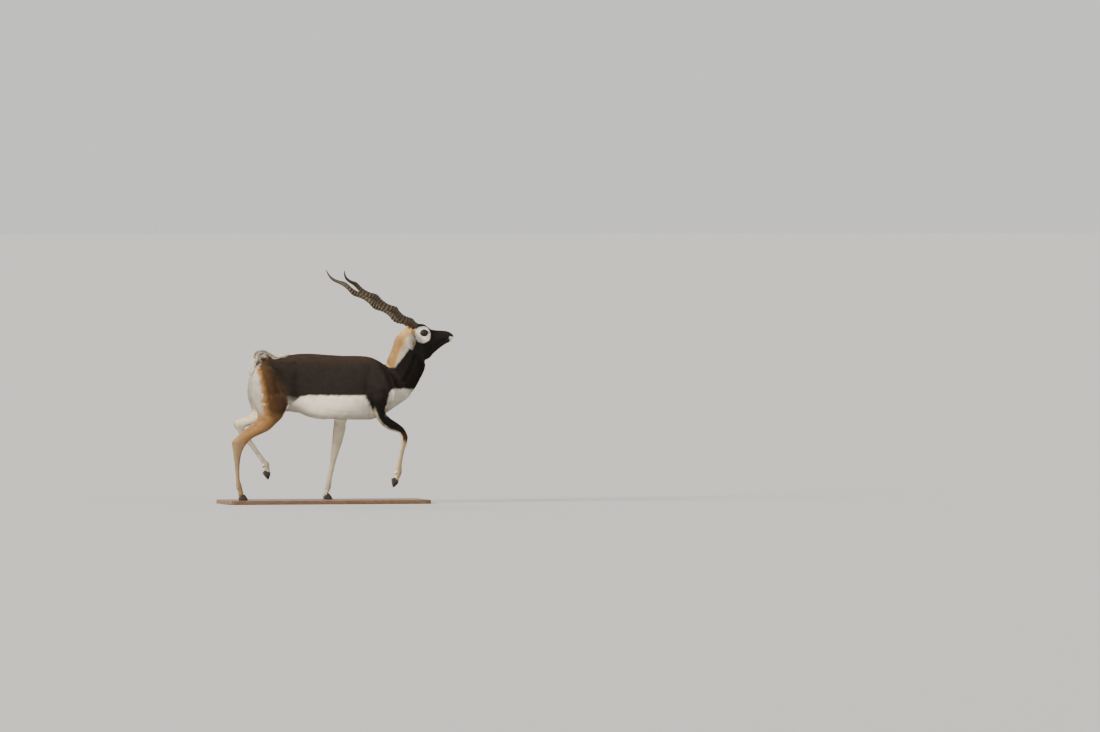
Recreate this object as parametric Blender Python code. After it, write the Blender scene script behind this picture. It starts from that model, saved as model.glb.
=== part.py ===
"""A life-size male blackbuck in a slow display walk: head raised, ears drooped, tail curled over the croup.

The animal faces +X with its right side towards -Y. It stands on a flat base board on its right hind
and left fore hooves. Outlines are tables of pairs in millimetres above the board: the two edge points
of the body in side view, how far the section lies off the mid-plane, its half width, and where
between the two edge points it is widest.
"""

from math import copysign, cos, pi, radians, sin, tau

import bmesh
import bpy
import numpy as np
from mathutils import Matrix, Vector
from mathutils.bvhtree import BVHTree

MM = 0.001
GAP = 0.3
SLIVER = 0.05

BOARD_THICKNESS = 20
BOARD_REAR, BOARD_FRONT = -625, 470
BOARD_HALF_WIDTH = 185
BOARD_CORNER = 30
BOARD_EDGE = 3

# The head's many small cuts leave edges that touch with the exact solver.
HEAD_SOLVER = "MANIFOLD"

BODY_VOXEL, BODY_TRIANGLES = 6.0, 5200
HEAD_VOXEL, HEAD_TRIANGLES = 2.4, 4200

# Trunk from the buttocks to the brisket.
TRUNK = (
    (-466, 690, -448, 530, 0, 22, 0.45),
    (-450, 709, -442, 487, 0, 54, 0.45),
    (-417, 731, -408, 466, 0, 79, 0.42),
    (-369, 746, -341, 458, 0, 92, 0.42),
    (-309, 757, -276, 466, 0, 97, 0.45),
    (-238, 770, -211, 458, 0, 94, 0.50),
    (-163, 774, -141, 440, 0, 99, 0.56),
    (-70, 768, -60, 428, 0, 110, 0.60),
    (27, 762, 33, 423, 0, 115, 0.60),
    (108, 761, 114, 421, 0, 110, 0.58),
    (173, 754, 184, 424, 0, 98, 0.56),
    (228, 729, 249, 450, 0, 86, 0.50),
    (276, 697, 314, 493, 0, 72, 0.50),
    (320, 655, 369, 530, 0, 54, 0.50),
    (352, 617, 398, 559, 0, 32, 0.50),
)
# Neck from the withers and brisket up to the poll and throat.
NECK = (
    (195, 708, 336, 517, 0, 72, 0.50),
    (233, 710, 385, 554, 0, 68, 0.50),
    (260, 716, 417, 588, 0, 63, 0.50),
    (271, 750, 444, 636, 0, 58, 0.50),
    (285, 782, 466, 681, 0, 54, 0.50),
    (298, 819, 473, 718, 0, 52, 0.50),
    (317, 864, 466, 747, 0, 50, 0.45),
    (352, 893, 450, 782, 0, 48, 0.42),
    (396, 906, 439, 819, 0, 40, 0.40),
)
# Skull and upper muzzle, nose first.
SKULL = (
    (622, 869, 625, 855, 0, 13, 0.50),
    (614, 877, 618, 850, 0, 18, 0.50),
    (601, 886, 605, 847, 0, 21, 0.50),
    (581, 891, 584, 841, 0, 22, 0.52),
    (553, 893, 556, 826, 0, 26, 0.52),
    (526, 895, 537, 800, 0, 32, 0.45),
    (504, 899, 518, 775, 0, 39, 0.38),
    (482, 914, 499, 751, 0, 46, 0.32),
    (466, 925, 477, 738, 0, 50, 0.28),
    (444, 928, 450, 730, 0, 50, 0.28),
    (423, 928, 412, 739, 0, 48, 0.32),
    (396, 919, 374, 761, 0, 47, 0.36),
    (366, 903, 347, 792, 0, 44, 0.40),
)
# Lower jaw from the chin to below the eye.
JAW = (
    (617, 857, 616, 842, 0, 8, 0.50),
    (613, 863, 610, 834, 0, 14, 0.60),
    (603, 865, 599, 829, 0, 18, 0.62),
    (588, 862, 581, 821, 0, 19, 0.60),
    (567, 842, 560, 808, 0, 21, 0.50),
    (541, 832, 533, 787, 0, 26, 0.45),
    (515, 826, 507, 765, 0, 32, 0.40),
    (490, 822, 484, 756, 0, 34, 0.40),
)
# Right fore leg, lifted with its carpus bent: shoulder, upper arm, forearm, then cannon and pastern.
RIGHT_FORE_LEG = (
    (166, 664, 240, 660, -42, 26, 0.50),
    (146, 628, 288, 622, -52, 38, 0.50),
    (138, 580, 275, 582, -60, 43, 0.50),
    (154, 524, 250, 528, -68, 37, 0.50),
    (177, 474, 237, 482, -73, 30, 0.50),
    (193, 432, 244, 456, -72, 27, 0.50),
    (218, 398, 264, 434, -70, 25, 0.50),
    (251, 373, 292, 415, -68, 23, 0.50),
    (284, 362, 319, 397, -66, 20, 0.50),
    (314, 352, 343, 375, -64, 18, 0.50),
    (326, 331, 363, 337, -63, 18, 0.50),
    (327, 305, 360, 299, -62, 16, 0.50),
    (323, 268, 348, 265, -60, 12.5, 0.50),
    (313, 220, 339, 220, -58, 11.5, 0.50),
    (303, 178, 333, 178, -57, 12, 0.50),
    (299, 148, 334, 143, -56, 14, 0.50),
    (293, 128, 321, 114, -56, 12.5, 0.50),
)
# Left fore leg, on the board at the end of its stride.
LEFT_FORE_LEG = (
    (120, 664, 220, 660, 42, 26, 0.50),
    (78, 626, 258, 618, 52, 38, 0.50),
    (32, 545, 182, 545, 60, 42, 0.50),
    (4, 474, 112, 469, 68, 33, 0.50),
    (-7, 416, 63, 416, 68, 28, 0.50),
    (-13, 368, 54, 368, 66, 24, 0.50),
    (-19, 315, 40, 315, 62, 20, 0.50),
    (-25, 268, 24, 268, 60, 18, 0.50),
    (-29, 231, 10, 228, 58, 15, 0.50),
    (-31, 193, -1, 193, 57, 12, 0.50),
    (-41, 151, -11, 151, 56, 11.5, 0.50),
    (-50, 114, -21, 111, 55, 12, 0.50),
    (-57, 82, -25, 74, 55, 14, 0.50),
    (-60, 56, -32, 50, 55, 12.5, 0.50),
)
# Right hind leg, on the board: thigh, gaskin, hock, cannon, pastern.
RIGHT_HIND_LEG = (
    (-448, 700, -330, 712, -30, 26, 0.50),
    (-474, 640, -306, 655, -42, 45, 0.50),
    (-481, 556, -285, 572, -52, 50, 0.50),
    (-461, 488, -284, 517, -63, 44, 0.50),
    (-448, 450, -307, 450, -68, 38, 0.50),
    (-467, 413, -345, 408, -68, 32, 0.50),
    (-505, 384, -388, 369, -68, 26, 0.50),
    (-537, 358, -437, 346, -66, 21, 0.50),
    (-564, 334, -477, 326, -64, 19, 0.50),
    (-586, 310, -504, 299, -62, 17.5, 0.50),
    (-582, 278, -522, 273, -61, 16, 0.50),
    (-578, 241, -534, 241, -60, 13, 0.50),
    (-571, 193, -542, 193, -60, 12, 0.50),
    (-566, 146, -544, 146, -59, 11.5, 0.50),
    (-562, 109, -542, 109, -58, 12, 0.50),
    (-562, 80, -533, 82, -58, 14, 0.50),
    (-554, 50, -527, 58, -58, 12.5, 0.50),
)
# Left hind leg, lifted and swinging forward.
LEFT_HIND_LEG = (
    (-448, 700, -330, 712, 30, 26, 0.50),
    (-473, 640, -312, 655, 42, 45, 0.50),
    (-478, 559, -289, 575, 52, 50, 0.50),
    (-460, 501, -305, 506, 63, 42, 0.50),
    (-446, 464, -365, 432, 68, 34, 0.50),
    (-482, 443, -430, 403, 67, 26, 0.50),
    (-514, 429, -479, 387, 66, 21, 0.50),
    (-542, 420, -488, 382, 65, 18, 0.50),
    (-550, 403, -490, 377, 64, 17.5, 0.50),
    (-541, 382, -489, 371, 63, 17, 0.50),
    (-522, 352, -485, 360, 62, 15.5, 0.50),
    (-497, 318, -468, 335, 61, 13, 0.50),
    (-464, 281, -439, 294, 60, 11.5, 0.50),
    (-426, 231, -405, 245, 60, 11.5, 0.50),
    (-403, 199, -379, 212, 60, 12, 0.50),
    (-395, 180, -361, 196, 60, 14, 0.50),
    (-388, 156, -357, 162, 60, 12.5, 0.50),
)
# Tail from its root, up round the curl and forward along the croup.
TAIL = (
    (-386, 738, -412, 712, 0, 12, 0.50),
    (-414, 741, -430, 722, 0, 15, 0.50),
    (-425, 752, -448, 741, 0, 18, 0.50),
    (-422, 762, -446, 770, 0, 20, 0.50),
    (-409, 763, -417, 787, 0, 22, 0.50),
    (-386, 760, -389, 785, 0, 23, 0.50),
    (-358, 751, -357, 775, 0, 22, 0.50),
    (-328, 748, -328, 767, 0, 19, 0.50),
    (-300, 751, -301, 765, 0, 14, 0.50),
    (-277, 755, -277, 762, 0, 6, 0.50),
)
# Locks of the tail's fringe: a root inside the tail, then places carried to this height above the coat.
LOCK_LIFTS = (0, 10, 7.5, 6.5, 6)
TAIL_LOCKS = (
    ((-424, 8, 768), (-404, 25, 764), (-378, 35, 756), (-352, 37, 752), (-330, 34, 750)),
    ((-392, 12, 772), (-370, 26, 766), (-346, 32, 758), (-320, 31, 756), (-298, 26, 756)),
    ((-352, 10, 764), (-330, 20, 762), (-308, 23, 762), (-288, 20, 764), (-270, 14, 766)),
    ((-436, 9, 752), (-446, 18, 734), (-456, 24, 716), (-466, 26, 698), (-473, 25, 680)),
    ((-440, 4, 756), (-452, 7, 738), (-462, 10, 718), (-472, 11, 700), (-480, 10, 680)),
)
TAIL_SPACE_BEYOND = 0.08
# The dark hair that fills the bend of the curl: places in the tail, each over a place on the croup.
TAIL_BEND = (
    (-424, 764, -416, 740), (-413, 768, -408, 742), (-400, 767, -396, 744), (-384, 765, -382, 748),
    (-367, 760, -367, 752), (-352, 757, -352, 754),
)
TAIL_BEND_HALF_WIDTH, TAIL_BEND_HEIGHT = 8, 1.5
LOCK_WIDTHS = (7, 9, 8, 5.5, 1.5)
LOCK_THICKNESSES = (2.5, 2.4, 2.0, 1.5, 0.7)

# Muscles and bones that stand proud of the lofts: centre, radii and pitch in side view.
BODY_SWELLINGS = (
    ((222, -60, 598), (70, 36, 100), 18),
    ((212, 60, 598), (74, 36, 100), -10),
    ((-382, -54, 592), (90, 50, 120), 0),
    ((-382, 54, 592), (90, 50, 120), 0),
    ((-282, -50, 716), (60, 22, 24), 12),
    ((-282, 50, 716), (60, 22, 24), 12),
    ((-325, 0, 470), (34, 26, 44), 20),
    ((-122, 0, 440), (72, 14, 11), -11),
)
POLL = ((382, 0, 882), (36, 40, 25), 20)
HEAD_SWELLINGS = (
    ((458, -38, 882), (29, 16, 25), 0),
    ((458, 38, 882), (29, 16, 25), 0),
    ((455, -30, 812), (34, 16, 34), -30),
    ((455, 30, 812), (34, 16, 34), -30),
    ((611, -9, 865), (12, 11, 11), 0),
    ((611, 9, 865), (12, 11, 11), 0),
)

EYE_AT = (457, 37, 881)
EYE_RADIUS = 18
LID_THICKNESS = 3.0
LID_OPENING = (17.5, 13.0)
LID_TILT = 10

MOUTH_LINE = ((632, 0, 848), (625, 10, 848), (613, 19, 848), (596, 21, 845), (578, 23, 838), (560, 25, 830))
MOUTH_GROOVE = 1.7
NOSTRIL_AT, NOSTRIL_SIZE, NOSTRIL_PITCH = (616, 16, 867), (9.5, 5.0, 3.4), 40
GLAND_AT, GLAND_SIZE, GLAND_PITCH = (503, 40, 860), (12.0, 6.0, 3.0), -35

HORN_AXIS = (
    (410, 21, 918), (362, 42, 946), (318, 70, 973), (275, 93, 1001), (232, 109, 1029), (186, 121, 1057),
    (127, 133, 1093), (76, 144, 1125), (35, 166, 1151), (3, 202, 1180), (-18, 240, 1208),
)
HORN_RADII = (
    (0, 21), (0.12, 21.5), (0.35, 19), (0.55, 16.5), (0.73, 12.5), (0.86, 7.5), (0.94, 4.5), (1.0, 1.6),
)
HORN_RINGS = 28
HORN_RINGED_LENGTH = 0.83
HORN_RING_HEIGHT = 0.2
HORN_TWIST_PITCH, HORN_TWIST_START, HORN_TWIST_REACH = 0.235, 0.043, 7
HORN_SIDES = 10
PEDICLE_RADIUS = 21

EAR_BASE = (381, 56, 872)
EAR_ALONG = (-0.10, 0.77, -0.63)
EAR_BACK = (-0.45, 0.55, 0.70)
EAR_LENGTH = 126
EAR_BUTT_RADIUS = 14
EAR_WALL = 3.2
# Share of the ear's length, half of the opening angle of its roll in degrees, and its half width.
EAR_PROFILE = (
    (0.0, 150, 13), (0.15, 130, 16), (0.35, 85, 24), (0.55, 72, 26), (0.75, 65, 21), (0.9, 58, 12),
    (1.0, 50, 3),
)

HOOF_HEEL, HOOF_TOE = -18, 28
CLAW_WIDTH, CLEFT = 18.5, 1.6
DEWCLAW_RADII = (5, 4.5, 7)
CORONET_REAR, CORONET_FRONT = (-20, 16), (6, 33)


def remove(obj):
    mesh = obj.data
    bpy.data.objects.remove(obj)
    if mesh.users == 0:
        bpy.data.meshes.remove(mesh)


def material(name, colour, roughness):
    made = bpy.data.materials.new(name)
    made.use_nodes = True
    shader = made.node_tree.nodes["Principled BSDF"]
    shader.inputs["Base Color"].default_value = (*colour, 1.0)
    shader.inputs["Roughness"].default_value = roughness
    shader.inputs["Metallic"].default_value = 0.0
    return made


def object_from(name, mesh):
    obj = bpy.data.objects.new(name, mesh)
    bpy.context.scene.collection.objects.link(obj)
    return obj


def object_of(name, points, faces):
    """An object from points in millimetres above the board, with its faces turned outwards."""
    mesh = bpy.data.meshes.new(name)
    lifted = [(x * MM, y * MM, (z + BOARD_THICKNESS) * MM) for x, y, z in points]
    mesh.from_pydata(lifted, [], faces)
    shape = bmesh.new()
    shape.from_mesh(mesh)
    bmesh.ops.recalc_face_normals(shape, faces=shape.faces)
    shape.to_mesh(mesh)
    shape.free()
    return object_from(name, mesh)


def settle(obj):
    """Replaces an object's mesh by what its modifiers make of it."""
    graph = bpy.context.evaluated_depsgraph_get()
    mesh = bpy.data.meshes.new_from_object(obj.evaluated_get(graph))
    old = obj.data
    obj.modifiers.clear()
    obj.data = mesh
    bpy.data.meshes.remove(old)


def boolean(obj, other, operation, solver="EXACT"):
    cut = obj.modifiers.new(operation, "BOOLEAN")
    cut.operation = operation
    cut.solver = solver
    cut.object = other
    settle(obj)
    remove(other)


def unite(obj, others, solver="EXACT"):
    """Joins closed objects to one in a single union."""
    gathered = bpy.data.collections.new("gathered")
    for other in others:
        gathered.objects.link(other)
    union = obj.modifiers.new("union", "BOOLEAN")
    union.operation = "UNION"
    union.operand_type = "COLLECTION"
    union.collection = gathered
    union.solver = solver
    settle(obj)
    for other in others:
        remove(other)
    bpy.data.collections.remove(gathered)


def keep_largest(obj):
    """Welds the slivers that cuts leave, then drops every closed surface of the object but its largest."""
    shape = bmesh.new()
    shape.from_mesh(obj.data)
    bmesh.ops.triangulate(shape, faces=shape.faces)
    bmesh.ops.dissolve_degenerate(shape, dist=SLIVER * MM, edges=shape.edges)
    bmesh.ops.triangulate(shape, faces=shape.faces)
    left = set(shape.faces)
    islands = []
    while left:
        start = left.pop()
        island, front = [start], [start]
        while front:
            for edge in front.pop().edges:
                for face in edge.link_faces:
                    if face in left:
                        left.remove(face)
                        island.append(face)
                        front.append(face)
        islands.append(island)
    islands.sort(key=lambda island: sum(face.calc_area() for face in island))
    for island in islands[:-1]:
        bmesh.ops.delete(shape, geom=island, context="FACES")
    shape.to_mesh(obj.data)
    shape.free()


def smooth_rows(rows, steps):
    """Rows of numbers with a Catmull-Rom curve's rows between them."""
    known = np.array(rows, float)
    padded = np.vstack([2 * known[0] - known[1], known, 2 * known[-1] - known[-2]])
    out = []
    for i in range(len(known) - 1):
        a, b, c, d = padded[i : i + 4]
        for k in range(steps):
            t = k / steps
            out.append(0.5 * (2 * b + (c - a) * t + (2 * a - 5 * b + 4 * c - d) * t**2
                              + (3 * b - a - 3 * c + d) * t**3))
    return out + [known[-1]]


def section(row, sides, upper, lower):
    """The ring of one row. An exponent above 1 pinches that half, and one below 1 squares it."""
    ax, az, bx, bz, y, half, middle = row
    top, bottom = Vector((ax, 0, az)), Vector((bx, 0, bz))
    wide = top.lerp(bottom, middle)
    ring = []
    for i in range(sides):
        s, c = sin(tau * i / sides), cos(tau * i / sides)
        reach = (top - wide) * s if s >= 0 else (bottom - wide) * -s
        across = half * copysign(abs(c) ** (upper if s >= 0 else lower), c)
        ring.append(wide + reach + Vector((0, y + across, 0)))
    return ring


def loft(name, rows, sides=28, steps=4, upper=1.0, lower=1.0):
    rings = [section(row, sides, upper, lower) for row in smooth_rows(rows, steps)]
    return skin_rings(name, rings)


def skin_rings(name, rings):
    """A closed tube through rings of equally many points, with a fan at each end."""
    sides = len(rings[0])
    points = [p for ring in rings for p in ring]
    faces = []
    for i in range(len(rings) - 1):
        for k in range(sides):
            a, b = i * sides + k, i * sides + (k + 1) % sides
            faces.append((a, b, b + sides, a + sides))
    for start in (0, (len(rings) - 1) * sides):
        middle = len(points)
        points.append(sum((points[start + k] for k in range(sides)), Vector()) / sides)
        faces += [(start + k, start + (k + 1) % sides, middle) for k in range(sides)]
    return object_of(name, points, faces)


def pitch_matrix(degrees):
    """A turn in side view that lifts the front for a positive angle."""
    return Matrix.Rotation(-radians(degrees), 3, "Y")


def ellipsoid(name, centre, radii, pitch=0, rings=10, sides=16):
    turn, points = pitch_matrix(pitch), []
    for i in range(1, rings):
        lat = pi * i / rings
        for k in range(sides):
            lon = tau * k / sides
            ray = (sin(lat) * cos(lon), cos(lat), sin(lat) * sin(lon))
            local = Vector([radius * way for radius, way in zip(radii, ray)])
            points.append(turn @ local + Vector(centre))
    faces = [
        (i * sides + k, i * sides + (k + 1) % sides, (i + 1) * sides + (k + 1) % sides, (i + 1) * sides + k)
        for i in range(rings - 2)
        for k in range(sides)
    ]
    for start, sign in ((0, 1), ((rings - 2) * sides, -1)):
        pole = len(points)
        points.append(turn @ Vector((0, sign * radii[1], 0)) + Vector(centre))
        faces += [(start + k, start + (k + 1) % sides, pole) for k in range(sides)]
    return object_of(name, points, faces)


def prism(name, outline, low_y, high_y):
    """A side-view outline carried across from one y to another."""
    count = len(outline)
    points = [(x, y, z) for y in (low_y, high_y) for x, z in outline]
    faces = [tuple(range(count)), tuple(range(count, 2 * count))]
    faces += [(k, (k + 1) % count, count + (k + 1) % count, count + k) for k in range(count)]
    return object_of(name, points, faces)


def tube(name, centres, radii, sides):
    """A round tube along points, each ring square to the path."""
    rings, across = [], None
    for i, centre in enumerate(centres):
        ahead = Vector(centres[min(i + 1, len(centres) - 1)]) - Vector(centres[max(i - 1, 0)])
        ahead.normalize()
        if across is None:
            across = ahead.cross(Vector((0, 0, 1))).normalized()
        across = (across - ahead * across.dot(ahead)).normalized()
        up = across.cross(ahead)
        rings.append([
            Vector(centre) + radii[i] * (across * cos(turn) + up * sin(turn))
            for turn in (tau * k / sides for k in range(sides))
        ])
    return skin_rings(name, rings)


def joined(name, parts):
    """One object of all the parts' surfaces, which may run through each other."""
    shape = bmesh.new()
    for part in parts:
        shape.from_mesh(part.data)
    mesh = bpy.data.meshes.new(name)
    shape.to_mesh(mesh)
    shape.free()
    for part in parts:
        remove(part)
    return object_from(name, mesh)


def relax(mesh, rounds, pull=0.5, push=-0.52):
    """Evens the surface without shrinking it, by turns of pulling in and pushing out."""
    count = len(mesh.vertices)
    at = np.empty(count * 3)
    mesh.vertices.foreach_get("co", at)
    at = at.reshape(-1, 3)
    ends = np.empty(len(mesh.edges) * 2, int)
    mesh.edges.foreach_get("vertices", ends)
    ends = ends.reshape(-1, 2)
    first, second = np.concatenate([ends, ends[:, ::-1]]).T
    degree = np.bincount(first, minlength=count)[:, None]
    for _ in range(rounds):
        for share in (pull, push):
            around = np.stack([np.bincount(first, at[second, k], count) for k in range(3)], axis=1)
            at = at + share * (around / degree - at)
    mesh.vertices.foreach_set("co", at.ravel())
    mesh.update()


def fused(name, parts, voxel, rounds, triangles):
    """One closed skin round all the parts, eased where they meet, with about so many triangles."""
    obj = joined(name, parts)
    remesh = obj.modifiers.new("remesh", "REMESH")
    remesh.mode = "VOXEL"
    remesh.voxel_size = voxel * MM
    settle(obj)
    keep_largest(obj)
    relax(obj.data, rounds)
    thin = obj.modifiers.new("thin", "DECIMATE")
    thin.ratio = triangles / (2 * len(obj.data.polygons))
    settle(obj)
    return obj


def copy_of(obj, name):
    return object_from(name, obj.data.copy())


def finished(obj, look):
    obj.data.materials.clear()
    obj.data.materials.append(look)
    obj.data.shade_smooth()
    obj.data.set_sharp_from_angle(angle=radians(50))


def mirrored(point, side):
    return (point[0], point[1] * side, point[2])


def base_board(look):
    corners = []
    for cx, cy, start in (
        (BOARD_FRONT, BOARD_HALF_WIDTH, 0), (BOARD_REAR, BOARD_HALF_WIDTH, 90),
        (BOARD_REAR, -BOARD_HALF_WIDTH, 180), (BOARD_FRONT, -BOARD_HALF_WIDTH, 270),
    ):
        mx = cx - copysign(BOARD_CORNER, cx)
        my = cy - copysign(BOARD_CORNER, cy)
        for turn in (0, 30, 60, 90):
            a = radians(start + turn)
            corners.append((mx + BOARD_CORNER * cos(a), my + BOARD_CORNER * sin(a)))
    count = len(corners)
    points = [(x, y, z) for z in (-BOARD_THICKNESS, 0) for x, y in corners]
    faces = [tuple(range(count)), tuple(range(count, 2 * count))]
    faces += [(k, (k + 1) % count, count + (k + 1) % count, count + k) for k in range(count)]
    board = object_of("stand_base", points, faces)
    edge = board.modifiers.new("edge", "BEVEL")
    edge.width = BOARD_EDGE * MM
    edge.segments = 2
    edge.limit_method = "ANGLE"
    edge.angle_limit = radians(60)
    finished(board, look)


def claw_ring(rear, front, inner, outer, height, pointed, side):
    """One level of a claw: rounded behind, narrowed to the toe in front and flat on the cleft's side."""
    ring = []
    for k in range(10):
        c, s = cos(tau * k / 10), sin(tau * k / 10)
        x = (rear + front) / 2 + (front - rear) / 2 * c
        y = (inner + outer) / 2 + (outer - inner) / 2 * s * (1 - pointed * max(0, c) ** 2)
        y -= pointed * max(0, c) ** 2 * (outer - inner) / 4
        ring.append(Vector((x, side * y, height(x))))
    return ring


def hoof(name, coronet, turn, sole_gap, look):
    """Two claws under a coronet at (x, y, z), turned in side view by so many degrees."""
    rear, front = CORONET_REAR, CORONET_FRONT
    slope = (front[1] - rear[1]) / (front[0] - rear[0])
    brim = rear[1] - slope * rear[0] - GAP
    middle = Vector(((rear[0] + front[0]) / 2, 0, (rear[1] + front[1]) / 2))
    place = pitch_matrix(turn)
    for side, which in ((1, "left"), (-1, "right")):
        inner, outer = CLEFT / 2, CLEFT / 2 + CLAW_WIDTH
        levels = (
            claw_ring(HOOF_HEEL + 2, HOOF_TOE - 2, inner + 1, outer - 1.5, lambda x: sole_gap, 0.55, side),
            claw_ring(HOOF_HEEL, HOOF_TOE, inner, outer, lambda x: sole_gap + 4, 0.5, side),
            claw_ring(HOOF_HEEL - 3, 17, inner, outer - 1, lambda x: 17 + (x + 10) * 0.2, 0.4, side),
            claw_ring(rear[0], front[0], inner, outer - 4, lambda x: brim + slope * x, 0.2, side),
        )
        rings = [[place @ (p - middle) + Vector(coronet) for p in ring] for ring in levels]
        finished(skin_rings(f"{name}_{which}_claw", rings), look)


def coronet_row(coronet, turn, half):
    """The leg's last row, on the coronet's plane."""
    rear, front = (Vector((x, 0, z)) for x, z in (CORONET_REAR, CORONET_FRONT))
    middle, place = (rear + front) / 2, pitch_matrix(turn)
    a, b = (place @ (p - middle) * 0.94 + Vector(coronet) for p in (rear, front))
    return (a.x, a.z, b.x, b.z, coronet[1], half, 0.5)


def lower_leg(name, rows, coronet, turn, cut, side, dewclaws, look):
    leg = loft(name, (*rows, coronet_row(coronet, turn, 15)), sides=12, steps=2)
    boolean(leg, prism("cutter", cut, *sorted((0, side * 300))), "INTERSECT")
    for across in (-7, 7):
        centre = (dewclaws[0], coronet[1] + across, dewclaws[1])
        claw = ellipsoid("dewclaw", centre, DEWCLAW_RADII, turn, 6, 8)
        boolean(leg, claw, "UNION")
    keep_largest(leg)
    finished(leg, look)


def body():
    """Trunk, neck and upper legs, fused whole and parted by cuts of GAP."""
    parts = [
        loft("trunk", TRUNK, upper=1.05, lower=0.95),
        loft("neck_loft", NECK),
        loft("skull_loft", SKULL[5:]),
        loft("right_fore", RIGHT_FORE_LEG[:12]),
        loft("left_fore", LEFT_FORE_LEG[:10]),
        loft("right_hind", RIGHT_HIND_LEG[:11]),
        loft("left_hind", LEFT_HIND_LEG[:11]),
    ]
    parts += [ellipsoid("swelling", *values) for values in (*BODY_SWELLINGS, POLL)]
    return fused("body", parts, BODY_VOXEL, 16, BODY_TRIANGLES)


# Where the side view is cut: each upper leg's share of the body, then the share of its lower leg.
UPPER_CUTS = {
    "fore_leg_upper_right": (
        ((146, 538), (282, 538), (262, 470), (300, 440), (420, 440), (420, 100), (165, 100), (165, 440)),
        -1, 30),
    "fore_leg_upper_left": (
        ((14, 538), (186, 538), (140, 474), (92, 410), (92, 100), (-100, 100), (-30, 410), (-14, 474)),
        1, 30),
    "hind_leg_upper_right": (((-560, 500), (-246, 474), (-246, 100), (-700, 100), (-700, 500)), -1, 20),
    "hind_leg_upper_left": (((-560, 505), (-246, 474), (-246, 100), (-700, 100), (-700, 505)), 1, 20),
}
LOWER_CUTS = {
    "fore_leg_lower_right": ((352, 421), (298, 331), (228, 289), (228, -10), (460, -10), (460, 421)),
    "fore_leg_lower_left": ((-120, 310), (110, 310), (110, -10), (-120, -10)),
    "hind_leg_lower_right": ((-528, 414), (-441, 278), (-441, -10), (-680, -10), (-680, 414)),
    "hind_leg_lower_left": ((-503, 462), (-443, 349), (-273, 262), (-273, 50), (-600, 50), (-600, 462)),
}
NECK_BASE = ((233, 745), (440, 540))
NECK_TOP = ((330, 890), (488, 736))


def side_of(line, towards, shift=0.0, reach=900):
    """A side-view outline of all that lies on one side of a line, moved off it by a distance."""
    a, b = (Vector(p) for p in line)
    along = (b - a).normalized()
    out = Vector((-along.y, along.x))
    if out.dot(Vector(towards)) < 0:
        out = -out
    a, b = a - along * reach + out * shift, b + along * reach + out * shift
    return tuple(tuple(p) for p in (a, b, b + out * reach, a + out * reach))


def grown(outline, by):
    """The outline moved outwards all round."""
    points = [Vector(p) for p in outline]
    centre = sum(points, Vector((0, 0))) / len(points)
    out = []
    for i, p in enumerate(points):
        before, after = (p - points[i - 1]).normalized(), (points[(i + 1) % len(points)] - p).normalized()
        n1, n2 = Vector((before.y, -before.x)), Vector((after.y, -after.x))
        mean = (n1 + n2).normalized()
        step = by / max(0.3, mean.dot(n1))
        out.append(p + mean * step)
    area = sum(a.x * b.y - b.x * a.y for a, b in zip(out, out[1:] + out[:1]))
    before = sum(a.x * b.y - b.x * a.y for a, b in zip(points, points[1:] + points[:1]))
    if abs(area) < abs(before):
        return grown(outline, -by)
    return tuple(tuple(p) for p in out)


def part_body(looks):
    whole = body()
    lower_of = {name: LOWER_CUTS[name.replace("upper", "lower")] for name in UPPER_CUTS}
    for name, (outline, side, inner) in UPPER_CUTS.items():
        leg = copy_of(whole, name)
        boolean(leg, prism("cutter", outline, *sorted((side * inner, side * 300))), "INTERSECT")
        boolean(leg, prism("cutter", grown(lower_of[name], GAP), *sorted((0, side * 310))), "DIFFERENCE")
        keep_largest(leg)
        finished(leg, looks["coat"])
        room = prism("cutter", grown(outline, GAP), *sorted((side * (inner - GAP), side * 310)))
        boolean(whole, room, "DIFFERENCE")
    neck = copy_of(whole, "neck")
    boolean(neck, prism("cutter", side_of(NECK_BASE, (1, 1), GAP / 2), -300, 300), "INTERSECT")
    boolean(neck, prism("cutter", side_of(NECK_TOP, (1, 1), -GAP / 2), -310, 310), "DIFFERENCE")
    keep_largest(neck)
    finished(neck, looks["coat"])
    boolean(whole, prism("cutter", side_of(NECK_BASE, (1, 1), -GAP / 2), -300, 300), "DIFFERENCE")
    whole.name = "torso"
    surface = BVHTree.FromObject(whole, bpy.context.evaluated_depsgraph_get())
    boolean(whole, tail_root(2 * GAP), "DIFFERENCE")
    keep_largest(whole)
    finished(whole, looks["coat"])
    return surface


def tail_root(margin):
    """The space the tail takes out of the croup: its core, grown all round and a little beyond its ends."""
    grown_rows = []
    for ax, az, bx, bz, y, half, middle in TAIL:
        a, b = Vector((ax, az)), Vector((bx, bz))
        out = (a - b).normalized() * margin
        grown_rows.append((ax + out.x, az + out.y, bx - out.x, bz - out.y, y, half + margin, middle))
    for end, beside in ((0, 1), (-1, -2)):
        row, before = np.array(grown_rows[end]), np.array(grown_rows[beside])
        grown_rows[end] = tuple(row + (row - before) * TAIL_SPACE_BEYOND)
    return loft("tail_space", grown_rows, sides=10, steps=2)


def surface_place(tree, near):
    """The place on a surface nearest to a point above the board, and the way out of it there."""
    lift = Vector((0, 0, BOARD_THICKNESS))
    found, normal = tree.find_nearest((Vector(near) + lift) * MM)[:2]
    return found / MM - lift, normal


def horn_frame():
    first, second = Vector(HORN_AXIS[0]), Vector(HORN_AXIS[1])
    return first, (second - first).normalized()


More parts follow.
